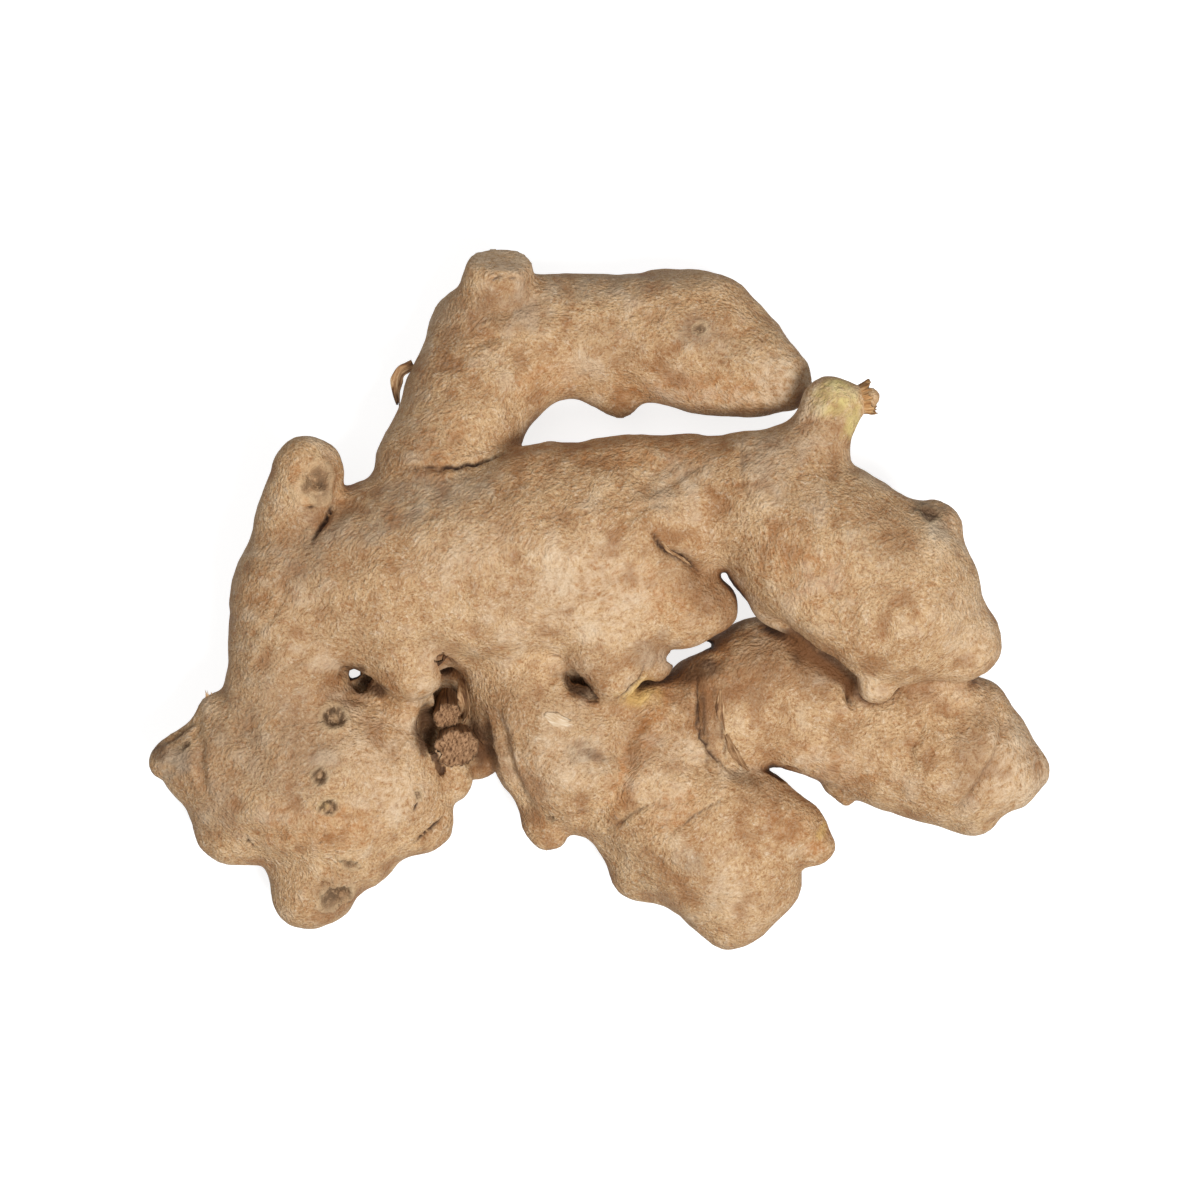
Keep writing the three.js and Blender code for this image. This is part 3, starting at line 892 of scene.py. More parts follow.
CRACKS: tuple[Crack, ...] = (
    Crack(path=((-43.2, 16.4), (-45.2, 13.4), (-47.4, 9.6)), width=0.5, depth=1.3),
    Crack(path=((-33, 21.6), (-28.3, 21.4), (-25, 21.6), (-18.3, 23), (-14.4, 24.8)), width=0.45, depth=0.9),
    Crack(path=((8.4, 11), (10.8, 8.3), (13.3, 6.9), (16.7, 4.4)), width=0.7, depth=1.3),
    Crack(path=((7.5, -10.8), (6.6, -13.2), (4.4, -15.6), (2.4, -17)), width=0.45, depth=0.9),
    Crack(path=((-58.7, -39.2), (-57.6, -42)), width=0.35, depth=0.6),
    Crack(path=((-31, -41), (-28.3, -38.7), (-25.8, -36.2)), width=0.45, depth=0.9),
    Crack(path=((-29.8, -32.8), (-30.3, -35.4)), width=0.4, depth=0.7),
    Crack(path=((-46.8, -41.2), (-45.4, -38.6)), width=0.3, depth=0.4, dark=0.7),
    Crack(path=((-49.6, 14.6), (-47.4, 14.9), (-45.6, 16.2)), width=0.4, depth=0.7),
    Crack(path=((-66.2, -17.8), (-66.6, -24), (-64.8, -32.6)), width=0.9, depth=0.5, dark=0.25),
    Crack(path=((23.4, 27.4), (23.2, 20.2), (24.4, 16.6), (27.4, 13.2)), width=0.5, depth=0.4, dark=0.45),
    Crack(path=((67, -18), (66.2, -24.7), (61.6, -32.3), (57.8, -37.4)), width=0.6, depth=0.8, dark=0.45),
    Crack(path=((-17.2, -18), (-14.7, -28.5), (-11.7, -35.2)), width=1.4, depth=1.2, dark=0.15),
    Crack(
        path=((6.5, -18.5), (4.4, -24), (3.4, -31), (-0.3, -35.2), (-4.5, -37.5)),
        width=1.8, depth=1.4, dark=0.1,
    ),
    Crack(path=((-46.6, -47.2), (-44.6, -48.8), (-42.2, -50.6)), width=0.6, depth=1.2),
    Crack(path=((-44.8, -46.8), (-44.2, -49.4), (-44.8, -51)), width=0.45, depth=0.9),
    Crack(path=((-43, -43.4), (-41, -44), (-39.6, -45)), width=0.4, depth=0.7),
    Crack(path=((51.6, 14.8), (54.6, 14.4), (56.8, 13)), width=0.45, depth=0.6, dark=0.8),
    Crack(path=((0.8, -39), (5, -36), (8.7, -33.7)), width=0.45, depth=0.6, dark=0.7),
    Crack(path=((10.9, -39.8), (16, -35.6), (21.8, -32.3)), width=0.45, depth=0.6, dark=0.6),
    Crack(
        path=((15.8, -12.6), (16.1, -17), (16.8, -22.6), (19.4, -26.4), (22.6, -29)),
        width=0.4, depth=0.9, dark=0.9,
    ),
    Crack(path=((41, -13.4), (41.2, -15.4), (42, -17.6)), width=0.6, depth=1.4),
    Crack(path=((-20.6, 47.2), (-15, 47.6), (-10.4, 49.6)), width=0.9, depth=0.6, dark=0.25),
    Crack(path=((-18.6, 52.6), (-16.2, 53.4), (-13.6, 52.8)), width=0.35, depth=0.5, dark=0.8),
    Crack(path=((-21, 41.6), (-18, 43), (-13, 43.6)), width=0.6, depth=0.5, dark=0.3),
    Crack(path=((7.4, 16.8), (12, 19.4), (17, 22)), width=0.5, depth=0.5, dark=0.4),
    Crack(path=((3.4, 12.6), (8, 15), (13, 15.4)), width=0.5, depth=0.5, dark=0.3),
    Crack(path=((54, -21), (51.6, -25.4), (53.4, -28.6)), width=0.5, depth=0.5, dark=0.4),
    Crack(path=((-58, -6), (-54, -3), (-52, 2)), width=0.5, depth=0.4, dark=0.3),
    Crack(path=((-46, -11.8), (-50, -10.8), (-53, -12)), width=0.6, depth=0.5, dark=0.35),
    Crack(path=((-66.8, -20.2), (-70, -22.4), (-73, -24.4)), width=0.5, depth=0.5, dark=0.7),
    Crack(path=((-65.6, -22.4), (-66.4, -27), (-65.2, -32)), width=0.7, depth=0.5, dark=0.4),
    Crack(path=((26.6, -28.2), (30.2, -28.9), (33, -29.6)), width=0.6, depth=0.6, dark=0.8),
    Crack(path=((-43.6, -16.2), (-37, -17.6), (-31, -18.4)), width=0.5, depth=0.45, dark=0.4),
)

PATCHES: tuple[Patch, ...] = (
    *patches(
        Tint.GREY,
        (-27, 17, 10, 3.6, 14, 0.8), (-47, 9, 9, 4, 50, 0.65), (-36, 13, 6, 3, 35, 0.7),
        (-56, -21.5, 5, 3.5, 30, 0.55), (-69.5, -27, 4.5, 3, 20, 0.9), (-61, -33, 4, 3, -60, 0.5),
        (27.6, 21.6, 4, 5.4, 10, 0.7), (2, 52, 13, 2.2, 2, 0.7), (16.8, 44, 4.2, 3.2, -30, 0.7),
        (55.6, 13.6, 3.6, 3, 0, 0.8), (-1.6, -26, 4.4, 2.6, -30, 0.8), (15.4, -43.4, 2.6, 2, 0, 0.6),
        (12, 19, 6, 2.6, 30, 0.55), (-24.4, 46, 4, 5, 60, 0.5), (-43.8, -49.4, 3, 2.6, 0, 0.7),
        (-53, -24, 11, 13, 0, 0.4),
    ),
    *patches(
        Tint.WARM,
        (9, 24.4, 14, 2.6, 0, 0.9), (-12, 22, 6, 3, 20, 0.6), (33, 5, 8, 5, -30, 0.6),
        (17, 34.6, 14, 2.6, 0, 0.9), (-8, 36, 6, 3, 10, 0.5), (-25.6, 26, 5, 4, 60, 0.5),
        (20, -12, 5, 6, 0, 0.7), (8, 1, 9, 4, -20, 0.55), (40, -28, 8, 3, -15, 0.5),
        (-50, -38, 9, 4, 0, 0.5), (-48, 19, 2.6, 4, -20, 0.8), (31, -38, 4, 3, 0, 0.5),
        (6.4, -25, 11, 2.4, 70, 1), (12, -35, 6, 3, 40, 0.6), (-42, -38, 5, 4, 0, 0.6),
        (10.6, -16, 1.6, 2.6, 0, 1), (36, -41.2, 1.6, 1.6, 0, 0.9),
    ),
    # pale cork; at the top finger's tip, beside the cavity and below the right lobe these patches are also
    # painted light where the lamps leave shade
    *patches(
        Tint.PALE_AND_PAINTED_LIGHT,
        (-1, 2, 10, 8, 10, 0.75), (-14, -4, 7, 5, 0, 0.4), (-16.4, 57, 5, 3, 0, 0.9),
        (30, 36, 5, 4.4, 0, 1), (13, 36, 4, 3, 0, 0.6), (-37, -24, 6, 4, 0, 0.8), (-27, -15, 3, 2, 0, 0.7),
        (-27, -10, 2.6, 3, 0, 0.6), (-4, -11, 3, 2, 0, 0.6), (56, 10, 4, 5, 0, 0.8),
        (-8, -29, 8, 5.4, 0, 0.6), (-22, 8, 8, 5, 20, 0.45), (14, -26, 3.6, 3, 0, 0.7),
        (27.6, 21, 3.6, 6, 0, 0.6), (38, -27, 6, 4, 0, 0.4), (61, -5, 6, 7, 30, 0.7),
        (69, -28, 6.4, 7, 0, 0.9), (-34, -31.6, 5.4, 4.4, -40, 0.8), (-6.8, -19.8, 2.6, 1.6, 15, 1),
        (22, -50, 5, 4, 0, 0.5), (44.5, -15, 3.4, 2.4, 0, 0.9), (9, -30, 6, 4, -40, 0.45),
        (33, 33, 4, 4.6, 0, 1), (20, 33.4, 8, 2, -6, 0.6), (-29.4, -16.6, 2, 2, 0, 0.9),
        (27.4, -5.4, 3.6, 2.4, -30, 0.7), (59, -15, 7, 3, 0, 0.5),
    ),
    # brown skin; in the finger trough, the cavity's right crevice, under the beak slit and along the right
    # lobe's edge these patches are also painted shade
    *patches(
        Tint.BROWN,
        (18, 1.4, 6, 4, -35, 0.85), (22, -3, 2, 3, 0, 0.9), (9, -8.6, 3.4, 2.4, 20, 0.8),
        (-3, -12.4, 4, 2, 0, 0.5), (25, -12, 9, 5, 30, 0.75), (35, -11, 6, 4, -35, 0.85),
        (18, -18.4, 1.7, 9, 6, 1), (13.4, -14, 3.4, 4, 0, 0.7), (7, -24, 5, 3.4, -30, 0.45),
        (-43, -12.4, 4, 3, 20, 0.7), (-48, -1, 7, 4, 60, 0.35), (-64.6, -32, 4, 7, 20, 0.6),
        (-56, -14, 5, 9, -20, 0.35), (-27, -9, 3, 5, 20, 0.45), (-44, -48, 5, 3, 0, 0.4),
        (-14.6, 48, 6, 4, 0, 0.8), (-47, 3, 8, 13, -15, 0.3), (-61.5, -26, 5, 5, 0, 0.5),
        (-46.4, -26, 3.4, 2.4, 0, 0.55), (16.4, -12, 4, 2.4, 20, 1), (73.6, -29.4, 1.2, 3.6, 0, 0.8),
        (63.4, -22, 1.8, 8, -12, 0.5), (14, 24, 5, 4, 0, 0.35), (34, 28, 5, 4, 40, 0.5),
        (-30, 24, 4, 4, 0, 0.45), (-30.6, 37, 3, 4, 0, 0.45), (-44.8, 20, 1.6, 4, 0, 0.9),
        (46, 10, 7, 4, -40, 0.35), (1, 41, 5, 5, 0, 0.35), (20, 43, 6, 4, -40, 0.45),
        (61, -27, 2.4, 8, -8, 0.65), (18, -49, 5, 3, -30, 0.3), (26.6, -31, 5, 3, -20, 0.5),
        (40, 26, 3.4, 5, -20, 0.5), (-12, -36.4, 3, 2, 0, 0.7), (-17, -22, 3, 7, 15, 0.4),
        (-43, -16, 4.4, 2.4, 0, 0.8), (-51, -4, 12, 22, 0, 0.34), (-8, -18, 12, 4.4, 0, 0.4),
        (-18.4, -24, 3, 6, 12, 0.8), (12, 6, 3, 3, 0, 0.6),
    ),
    # painted shade: dark patches in the lip hole, the cavity, the pinhole recess, the trough and under the
    # right lobe's edge
    *patches(
        Tint.DARK,
        (-3.4, -14.2, 3, 1.5, -20, 1), (36, -9.2, 7.2, 2.4, -36, 1, -1, 22.5), (17, -11.8, 4, 1.7, 15, 0.8),
        (41.6, -14.6, 1, 2, 10, 1), (-28.8, -21.6, 2, 3.6, 0, 1), (-20, -23.6, 2.2, 4.4, 12, 1),
        (-24.8, -16.8, 1.6, 2, 0, 1), (-37.6, -14.8, 3, 1.2, -25, 1), (-40.6, -11.6, 1.8, 0.8, 0, 0.9),
        (-1, -25.8, 2.2, 1, -20, 0.5), (-73, -25.6, 1.6, 1.4, 0, 0.7), (24, -30, 3.4, 1.2, -20, 0.4),
        (17.4, -20, 0.4, 6.4, 4, 0.8), (20.4, -22, 0.35, 6, 10, 0.7), (54.4, 14.4, 2.8, 1.2, -8, 0.6),
    ),
    *patches(
        Tint.FLESH,
        (6.8, -15.8, 3, 2.3, 10, 1), (37, -38.6, 0.7, 1.8, -20, 0.7), (-45.3, -34.1, 0.7, 0.6, 0, 0.9),
    ),
    *patches(
        Tint.SHOOT,
        (39, 33.2, 3.4, 2.6, 20, 1, 12), (41.6, 29, 1.3, 2.8, -20, 0.8, 12),
    ),
)


GRAIN_DIRECTIONS: tuple[float, ...] = (0.0, 45.0, 90.0, 135.0)

# masks painted on the skin; hollow, crack and dark hold painted shade, relief painted shade and highlight
MASKS: tuple[str, ...] = ("relief", "hollow", "scar", "rot", "crack", *(tint.value for tint in Tint))

# x and y in mm, and the direction in degrees that the skin's fibres run in there
GRAIN_MARKS: tuple[Triple, ...] = (
    (-58, -5, 60), (-52, 5, 55), (-50, 20, 75), (-40, 5, 50), (-30, 14, 45), (-20, 0, 65), (-6, 8, 55),
    (8, 18, 40), (4, -2, 15), (14, 0, 10), (20, 16, 45), (33, 10, 100), (50, 2, 55), (58, -8, 40),
    (-62, -24, 30), (-55, -28, 60), (-42, -18, 10), (-36, -28, 100), (-44, -38, 20), (-46, -46, 80),
    (-30, -36, 60), (-31, -8, 60), (-24, 26, 65), (-20, 38, 50), (-6, 46, 10), (14, 46, 0), (28, 40, -40),
    (-16, 56, 80), (-20, -22, 110), (-6, -18, 10), (-6, -32, 30), (4, -28, 45), (12, -38, 40),
    (22, -46, 30), (16, -16, 95), (26, -16, 60), (40, -20, -15), (55, -24, -10), (66, -27, 80),
    (38, 30, 60),
)


# ------------------------------------------------------------------------------------------ finishes


class Shader:
    """A material's node tree while it is being built."""

    def __init__(self, name: str) -> None:
        """Makes an empty material with its surface shader.

        Args:
            name: the material's name.
        """
        self.material = bpy.data.materials.new(name)
        self.material.use_nodes = True
        self.tree = self.material.node_tree
        self.tree.nodes.clear()
        self.surface = self.add("BsdfPrincipled")
        self.add("OutputMaterial", links={"Surface": self.surface.outputs["BSDF"]})

    def add(
        self,
        kind: str,
        settings: Optional[dict] = None,
        values: Optional[dict] = None,
        links: Optional[dict] = None,
    ) -> bpy.types.Node:
        """Adds one node.

        Args:
            kind: the node's type, without the prefix that all shader nodes share.
            settings: its own properties.
            values: what its unlinked inputs are set to, by name or number.
            links: what its other inputs are linked to.

        Returns:
            The node.
        """
        node = self.tree.nodes.new("ShaderNode" + kind)
        for key, value in (settings or {}).items():
            setattr(node, key, value)
        for key, value in (values or {}).items():
            node.inputs[key].default_value = value
        for key, output in (links or {}).items():
            self.tree.links.new(output, node.inputs[key])
        return node

    def dress(
        self, colour: bpy.types.NodeSocket, height: bpy.types.NodeSocket, roughness: float, specular: float
    ) -> bpy.types.Material:
        """Gives the surface its colour, its relief and its sheen.

        Args:
            colour: its colour.
            height: how high its relief stands, in mm.
            roughness: how rough it is, from 0 to 1.
            specular: how much it reflects, where 0.5 is usual.

        Returns:
            The finished material.
        """
        bump = self.add("Bump", values={"Strength": 1.0, "Distance": MM}, links={"Height": height})
        self.tree.links.new(colour, self.surface.inputs["Base Color"])
        self.tree.links.new(bump.outputs[0], self.surface.inputs["Normal"])
        self.surface.inputs["Roughness"].default_value = roughness
        self.surface.inputs["Specular IOR Level"].default_value = specular
        return self.material


@dataclass(frozen=True)
class GingerSkin:
    """Fresh ginger skin, dug, washed and dried in air.

    A thin dry cork has shrunk over firm flesh. It gives the eye a dull tan with fine fibrous wrinkles, darker
    and redder in every fold, partly its own colour and partly painted shade, and no clear highlight anywhere.
    The colour also carries painted shade in cracks and hollows and a faint painted highlight on raised
    wrinkles.
    """

    shade: str = "a67c51"
    light: str = "c9a67b"
    # darker, redder tan of grit and folds; in low relief, creases and shallow hollows it is also painted
    # shade
    fold: str = "87552a"
    speck: str = "9f6836"
    # pale flecks; on raised wrinkles and relief it is a painted highlight
    fleck: str = "e3d0b5"
    # painted shade, near black, at the bottoms of cracks and deep in hollows
    crevice_shade: str = "3a2212"
    # painted shade in recesses, laid by the dark patches
    deep: str = "4c3019"
    grey: str = "8d7a66"
    # brown skin, and in crevices also painted shade
    warm: str = "ad7038"
    brown: str = "7d5636"
    # pale cork, and in places also painted light
    pale: str = "dabf9e"
    flesh: str = "d9b56f"
    shoot: str = "d3c27c"
    old_cork: str = "45301c"
    rim: str = "cbb08a"
    roughness: float = 0.72
    specular: float = 0.3
    wander: float = 3.0
    wander_length: float = 6.25
    patch_size: float = 13.0
    mottle_size: float = 3.6
    speck_size: float = 1.5
    fleck_size: float = 1.1
    grit_size: float = 0.42
    crease_size: float = 2.2
    crease_depth: float = 0.05
    wrinkle_length: float = 1.25
    wrinkle_width: float = 0.65
    wrinkle_height: float = 0.48
    pore_size: float = 0.55
    pore_height: float = 0.32

    def material(self) -> bpy.types.Material:
        """Builds the skin's material.

        Returns:
            The material, which reads the masks painted on the mesh.
        """
        shader = Shader("ginger_skin_washed_and_air_dried")
        place = shader.add("TexCoord").outputs["Object"]
        place = shader.add("VectorMath", {"operation": "SCALE"}, {"Scale": 1 / MM}, {0: place}).outputs[0]
        values = {"Scale": 1 / self.wander_length, "Detail": 2}
        wander = shader.add("TexNoise", values=values, links={"Vector": place}).outputs["Color"]
        values = {1: (self.wander,) * 3}
        links = {0: wander, 2: place}
        place = shader.add("VectorMath", {"operation": "MULTIPLY_ADD"}, values, links).outputs[0]
        wrinkles = self._wrinkles(shader, place)
        values = {"Scale": 1 / self.crease_size, "Detail": 4.0, "Roughness": 0.65, "Distortion": 0.6}
        ridged = {"noise_type": "RIDGED_MULTIFRACTAL"}
        creases = shader.add("TexNoise", ridged, values, {"Vector": place}).outputs[0]
        colour = self._colour(shader, place, wrinkles, creases)
        height = self._relief(shader, place, wrinkles, creases)
        return shader.dress(colour, height, self.roughness, self.specular)

    def _wrinkles(self, shader: "Shader", place: bpy.types.NodeSocket) -> bpy.types.NodeSocket:
        """Lays streaks in four directions, each where the painted grain runs its way.

        Args:
            shader: the material being built.
            place: positions in mm.

        Returns:
            The height of the wrinkles, about -0.3 to 0.3.
        """
        total = None
        for number, direction in enumerate(GRAIN_DIRECTIONS):
            settings = {"vector_type": "TEXTURE"}
            values = {
                "Rotation": (0, 0, math.radians(direction)),
                "Scale": (self.wrinkle_length, self.wrinkle_width, self.wrinkle_width),
                "Location": (31.0 * number, 0, 0),
            }
            turned = shader.add("Mapping", settings, values, {"Vector": place}).outputs[0]
            values = {"Scale": 1.0, "Detail": 3.0, "Roughness": 0.6}
            streaks = shader.add("TexNoise", values=values, links={"Vector": turned}).outputs[0]
            centred = shader.add("Math", {"operation": "SUBTRACT"}, {1: 0.5}, {0: streaks}).outputs[0]
            share = shader.add("Attribute", {"attribute_name": f"grain_{number}"}).outputs["Fac"]
            links = {0: centred, 1: share}
            if total is None:
                total = shader.add("Math", {"operation": "MULTIPLY"}, links=links).outputs[0]
            else:
                links[2] = total
                total = shader.add("Math", {"operation": "MULTIPLY_ADD"}, links=links).outputs[0]
        return total

    def _colour(
        self,
        shader: "Shader",
        place: bpy.types.NodeSocket,
        wrinkles: bpy.types.NodeSocket,
        creases: bpy.types.NodeSocket,
    ) -> bpy.types.NodeSocket:
        """Paints the skin in layers, from its ground colour up to its scars and the painted shade in its
        cracks and hollows.

        Args:
            shader: the material being built.
            place: positions in mm.
            wrinkles: the height of the wrinkles.
            creases: the depth of the creases.

        Returns:
            The finished colour.
        """
        noises = {}
        for name, size, detail in (
            ("patch", self.patch_size, 7.0),
            ("mottle", self.mottle_size, 7.0),
            ("speck", self.speck_size, 6.0),
            ("fleck", self.fleck_size, 3.0),
            ("grit", self.grit_size, 2.0),
        ):
            values = {"Scale": 1 / size, "Detail": detail, "Roughness": 0.7}
            noises[name] = shader.add("TexNoise", values=values, links={"Vector": place}).outputs[0]
        masks = {
            name: shader.add("Attribute", {"attribute_name": name}).outputs["Fac"] for name in MASKS
        }
        # what each layer follows, where it starts, where it is full, its strength, its colour and its mask
        layers = (
            (noises["patch"], 0.62, 0.36, 0.62, self.shade, None),
            (noises["mottle"], 0.5, 0.38, 0.4, self.shade, None),
            # painted shade in the wrinkles' troughs and a painted highlight on their crests, over the redder
            # colour of the folds
            (wrinkles, 0.0, -0.22, 0.45, self.fold, None),
            (wrinkles, 0.03, 0.22, 0.25, self.fleck, None),
            (noises["speck"], 0.52, 0.66, 0.58, self.speck, None),
            (noises["fleck"], 0.56, 0.7, 0.4, self.fleck, None),
            (noises["grit"], 0.5, 0.32, 0.6, self.fold, None),
            (noises["grit"], 0.54, 0.7, 0.4, self.fleck, None),
            # the ridged creases, darker partly as the skin's colour and partly as painted shade
            (creases, 0.95, 1.5, 0.45, self.fold, None),
            (noises["mottle"], 0.3, 0.62, 0.75, self.grey, "grey"),
            (noises["speck"], 0.34, 0.6, 0.6, self.warm, "warm"),
            # brown skin, and in crevices also painted shade
            (noises["mottle"], 0.15, 0.6, 0.75, self.brown, "brown"),
            # pale cork, and in places also painted light
            (noises["fleck"], 0.35, 0.6, 0.7, self.pale, "pale"),
            (noises["patch"], 0.1, 0.4, 0.9, self.flesh, "flesh"),
            (noises["mottle"], 0.3, 0.58, 0.85, self.shoot, "shoot"),
            # painted shade where the mesh's relief lies low and a painted highlight where it stands high
            (masks["relief"], 0.0, -1.0, 0.55, self.fold, None),
            (masks["relief"], 0.1, 1.0, 0.25, self.fleck, None),
            (masks["scar"], 1.4, 1.0, 0.4, self.rim, None),
            (masks["scar"], 0.85, 0.7, 0.3, self.fold, None),
            (noises["fleck"], 0.7, 0.48, 0.9, self.old_cork, "rot"),
            # painted shade along the bottoms of cracks
            (masks["crack"], 0.1, 0.8, 0.95, self.crevice_shade, None),
            # painted shade in recesses, from the dark patches
            (noises["speck"], 0.1, 0.5, 0.95, self.deep, "dark"),
            # painted shade: brown, then near black, the deeper a point lies in a hollow
            (masks["hollow"], 0.2, 0.8, 0.7, self.fold, None),
            (masks["hollow"], 0.5, 1.0, 0.9, self.crevice_shade, None),
        )
        colour = shader.add("RGB").outputs[0]
        colour.default_value = rgba(self.light)
        for source, start, full, strength, tint, mask in layers:
            values = {"From Min": start, "From Max": full, "To Min": 0.0, "To Max": strength}
            settings = {"interpolation_type": "SMOOTHSTEP"}
            factor = shader.add("MapRange", settings, values, {"Value": source}).outputs[0]
            if mask:
                links = {0: factor, 1: masks[mask]}
                factor = shader.add("Math", {"operation": "MULTIPLY"}, links=links).outputs[0]
            settings = {"data_type": "RGBA"}
            colour = shader.add("Mix", settings, {7: rgba(tint)}, {0: factor, 6: colour}).outputs[2]
        return colour

    def _relief(
        self,
        shader: "Shader",
        place: bpy.types.NodeSocket,
        wrinkles: bpy.types.NodeSocket,
        creases: bpy.types.NodeSocket,
    ) -> bpy.types.NodeSocket:
        """Raises the wrinkles, pores and creases that are finer than the mesh.

        Args:
            shader: the material being built.
            place: positions in mm.
            wrinkles: the height of the wrinkles.
            creases: the depth of the creases.

        Returns:
            The height of all of them in mm.
        """
        values = {"Scale": 1 / self.pore_size, "Detail": 2.0}
        pores = shader.add("TexNoise", values=values, links={"Vector": place}).outputs[0]
        values = {1: self.pore_height}
        pores = shader.add("Math", {"operation": "MULTIPLY"}, values, {0: pores}).outputs[0]
        values = {1: self.wrinkle_height}
        links = {0: wrinkles, 2: pores}
        height = shader.add("Math", {"operation": "MULTIPLY_ADD"}, values, links).outputs[0]
        values = {1: -self.crease_depth}
        links = {0: creases, 2: height}
        return shader.add("Math", {"operation": "MULTIPLY_ADD"}, values, links).outputs[0]


@dataclass(frozen=True)
class DriedLeaf:
    """Scale leaf or stem fibre, dried and torn.

    Papery and brittle, split along its fibres. It gives the eye thin streaked brown with pale torn edges.
    """

    name: str = "dried_scale_leaf_torn"
    dark: str = "5d3d25"
    mid: str = "9c7550"
    pale: str = "c6a57e"
    roughness: float = 0.8
    specular: float = 0.25
    fibre_width: float = 0.4
    fibre_length: float = 3.0
    fibre_height: float = 0.2

    def material(self) -> bpy.types.Material:
        """Builds the dried leaf's material.

        Returns:
            The material, streaked along the piece by its own run of coordinates.
        """
        shader = Shader(self.name)
        run = shader.add("Attribute", {"attribute_name": "run"}).outputs["Vector"]
        values = {"Scale": (self.fibre_width, self.fibre_length, 1.0)}
        turned = shader.add("Mapping", {"vector_type": "TEXTURE"}, values, {"Vector": run}).outputs[0]
        values = {"Scale": 1.0, "Detail": 4.0, "Roughness": 0.6, "Distortion": 0.4}
        fibres = shader.add("TexNoise", values=values, links={"Vector": turned}).outputs[0]
        ramp = shader.add("ValToRGB", links={0: fibres})
        ramp.color_ramp.elements[0].position = 0.36
        ramp.color_ramp.elements[0].color = rgba(self.dark)
        ramp.color_ramp.elements[1].position = 0.66
        ramp.color_ramp.elements[1].color = rgba(self.pale)
        middle = ramp.color_ramp.elements.new(0.5)
        middle.color = rgba(self.mid)
        values = {1: self.fibre_height}
        height = shader.add("Math", {"operation": "MULTIPLY"}, values, {0: fibres}).outputs[0]
        return shader.dress(ramp.outputs[0], height, self.roughness, self.specular)


@dataclass(frozen=True)
class LightTable:
    """A table top of opal acrylic, cast and lit from beneath. It gives an even white with hardly a shadow."""

    colour: str = "b4b4b4"
    glow: float = 0.8
    roughness: float = 0.6

    def material(self) -> bpy.types.Material:
        """Builds the table top's material, whose own light keeps the shadows on it faint.

        Returns:
            The material.
        """
        shader = Shader("opal_acrylic_cast_and_lit_from_beneath")
        cloud = shader.add("TexNoise", values={"Scale": 40.0, "Detail": 2.0}).outputs[0]
        bump = shader.add("Bump", values={"Strength": 0.02}, links={"Height": cloud})
        shader.tree.links.new(bump.outputs[0], shader.surface.inputs["Normal"])
        shader.surface.inputs["Base Color"].default_value = rgba(self.colour)
        shader.surface.inputs["Emission Color"].default_value = (1, 1, 1, 1)
        shader.surface.inputs["Emission Strength"].default_value = self.glow
        shader.surface.inputs["Roughness"].default_value = self.roughness
        return shader.material


# ------------------------------------------------------------------------------------------- pieces


def ring_faces(index: np.ndarray) -> np.ndarray:
    """Joins each closed ring of points to the next.

    Args:
        index: the numbers of the points, one ring to a row.

    Returns:
        The four corners of each face.
    """
    after = np.roll(index, -1, axis=1)
    return np.stack([index[:-1], after[:-1], after[1:], index[1:]], -1).reshape(-1, 4)


def write_attribute(piece: bpy.types.Object, name: str, values: np.ndarray) -> None:
    """Stores what a material reads at each point of a piece.

    Args:
        piece: the piece.
        name: the attribute's name.
        values: a number for each point, or a row of three.
    """
    kind, key = ("FLOAT", "value") if values.ndim == 1 else ("FLOAT_VECTOR", "vector")
    attribute = piece.data.attributes.new(name, kind, "POINT")
    attribute.data.foreach_set(key, values.astype(np.float32).ravel())


def make_piece(
    name: str, points: np.ndarray, faces: Sequence, material: bpy.types.Material
) -> bpy.types.Object:
    """Turns points and faces into an object that rides on the part.

    Args:
        name: the piece's name.
        points: its points in mm.
        faces: the corners of its faces.
        material: what it is dressed in.

    Returns:
        The object, smooth shaded.
    """
    mesh = bpy.data.meshes.new(name)
    mesh.from_pydata((points * MM).tolist(), [], [list(map(int, face)) for face in faces])
    mesh.polygons.foreach_set("use_smooth", np.ones(len(mesh.polygons), bool))
    mesh.materials.append(material)
    mesh.update()
    piece = bpy.data.objects.new(name, mesh)
    bpy.context.scene.collection.objects.link(piece)
    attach(piece, BODY)
    return piece


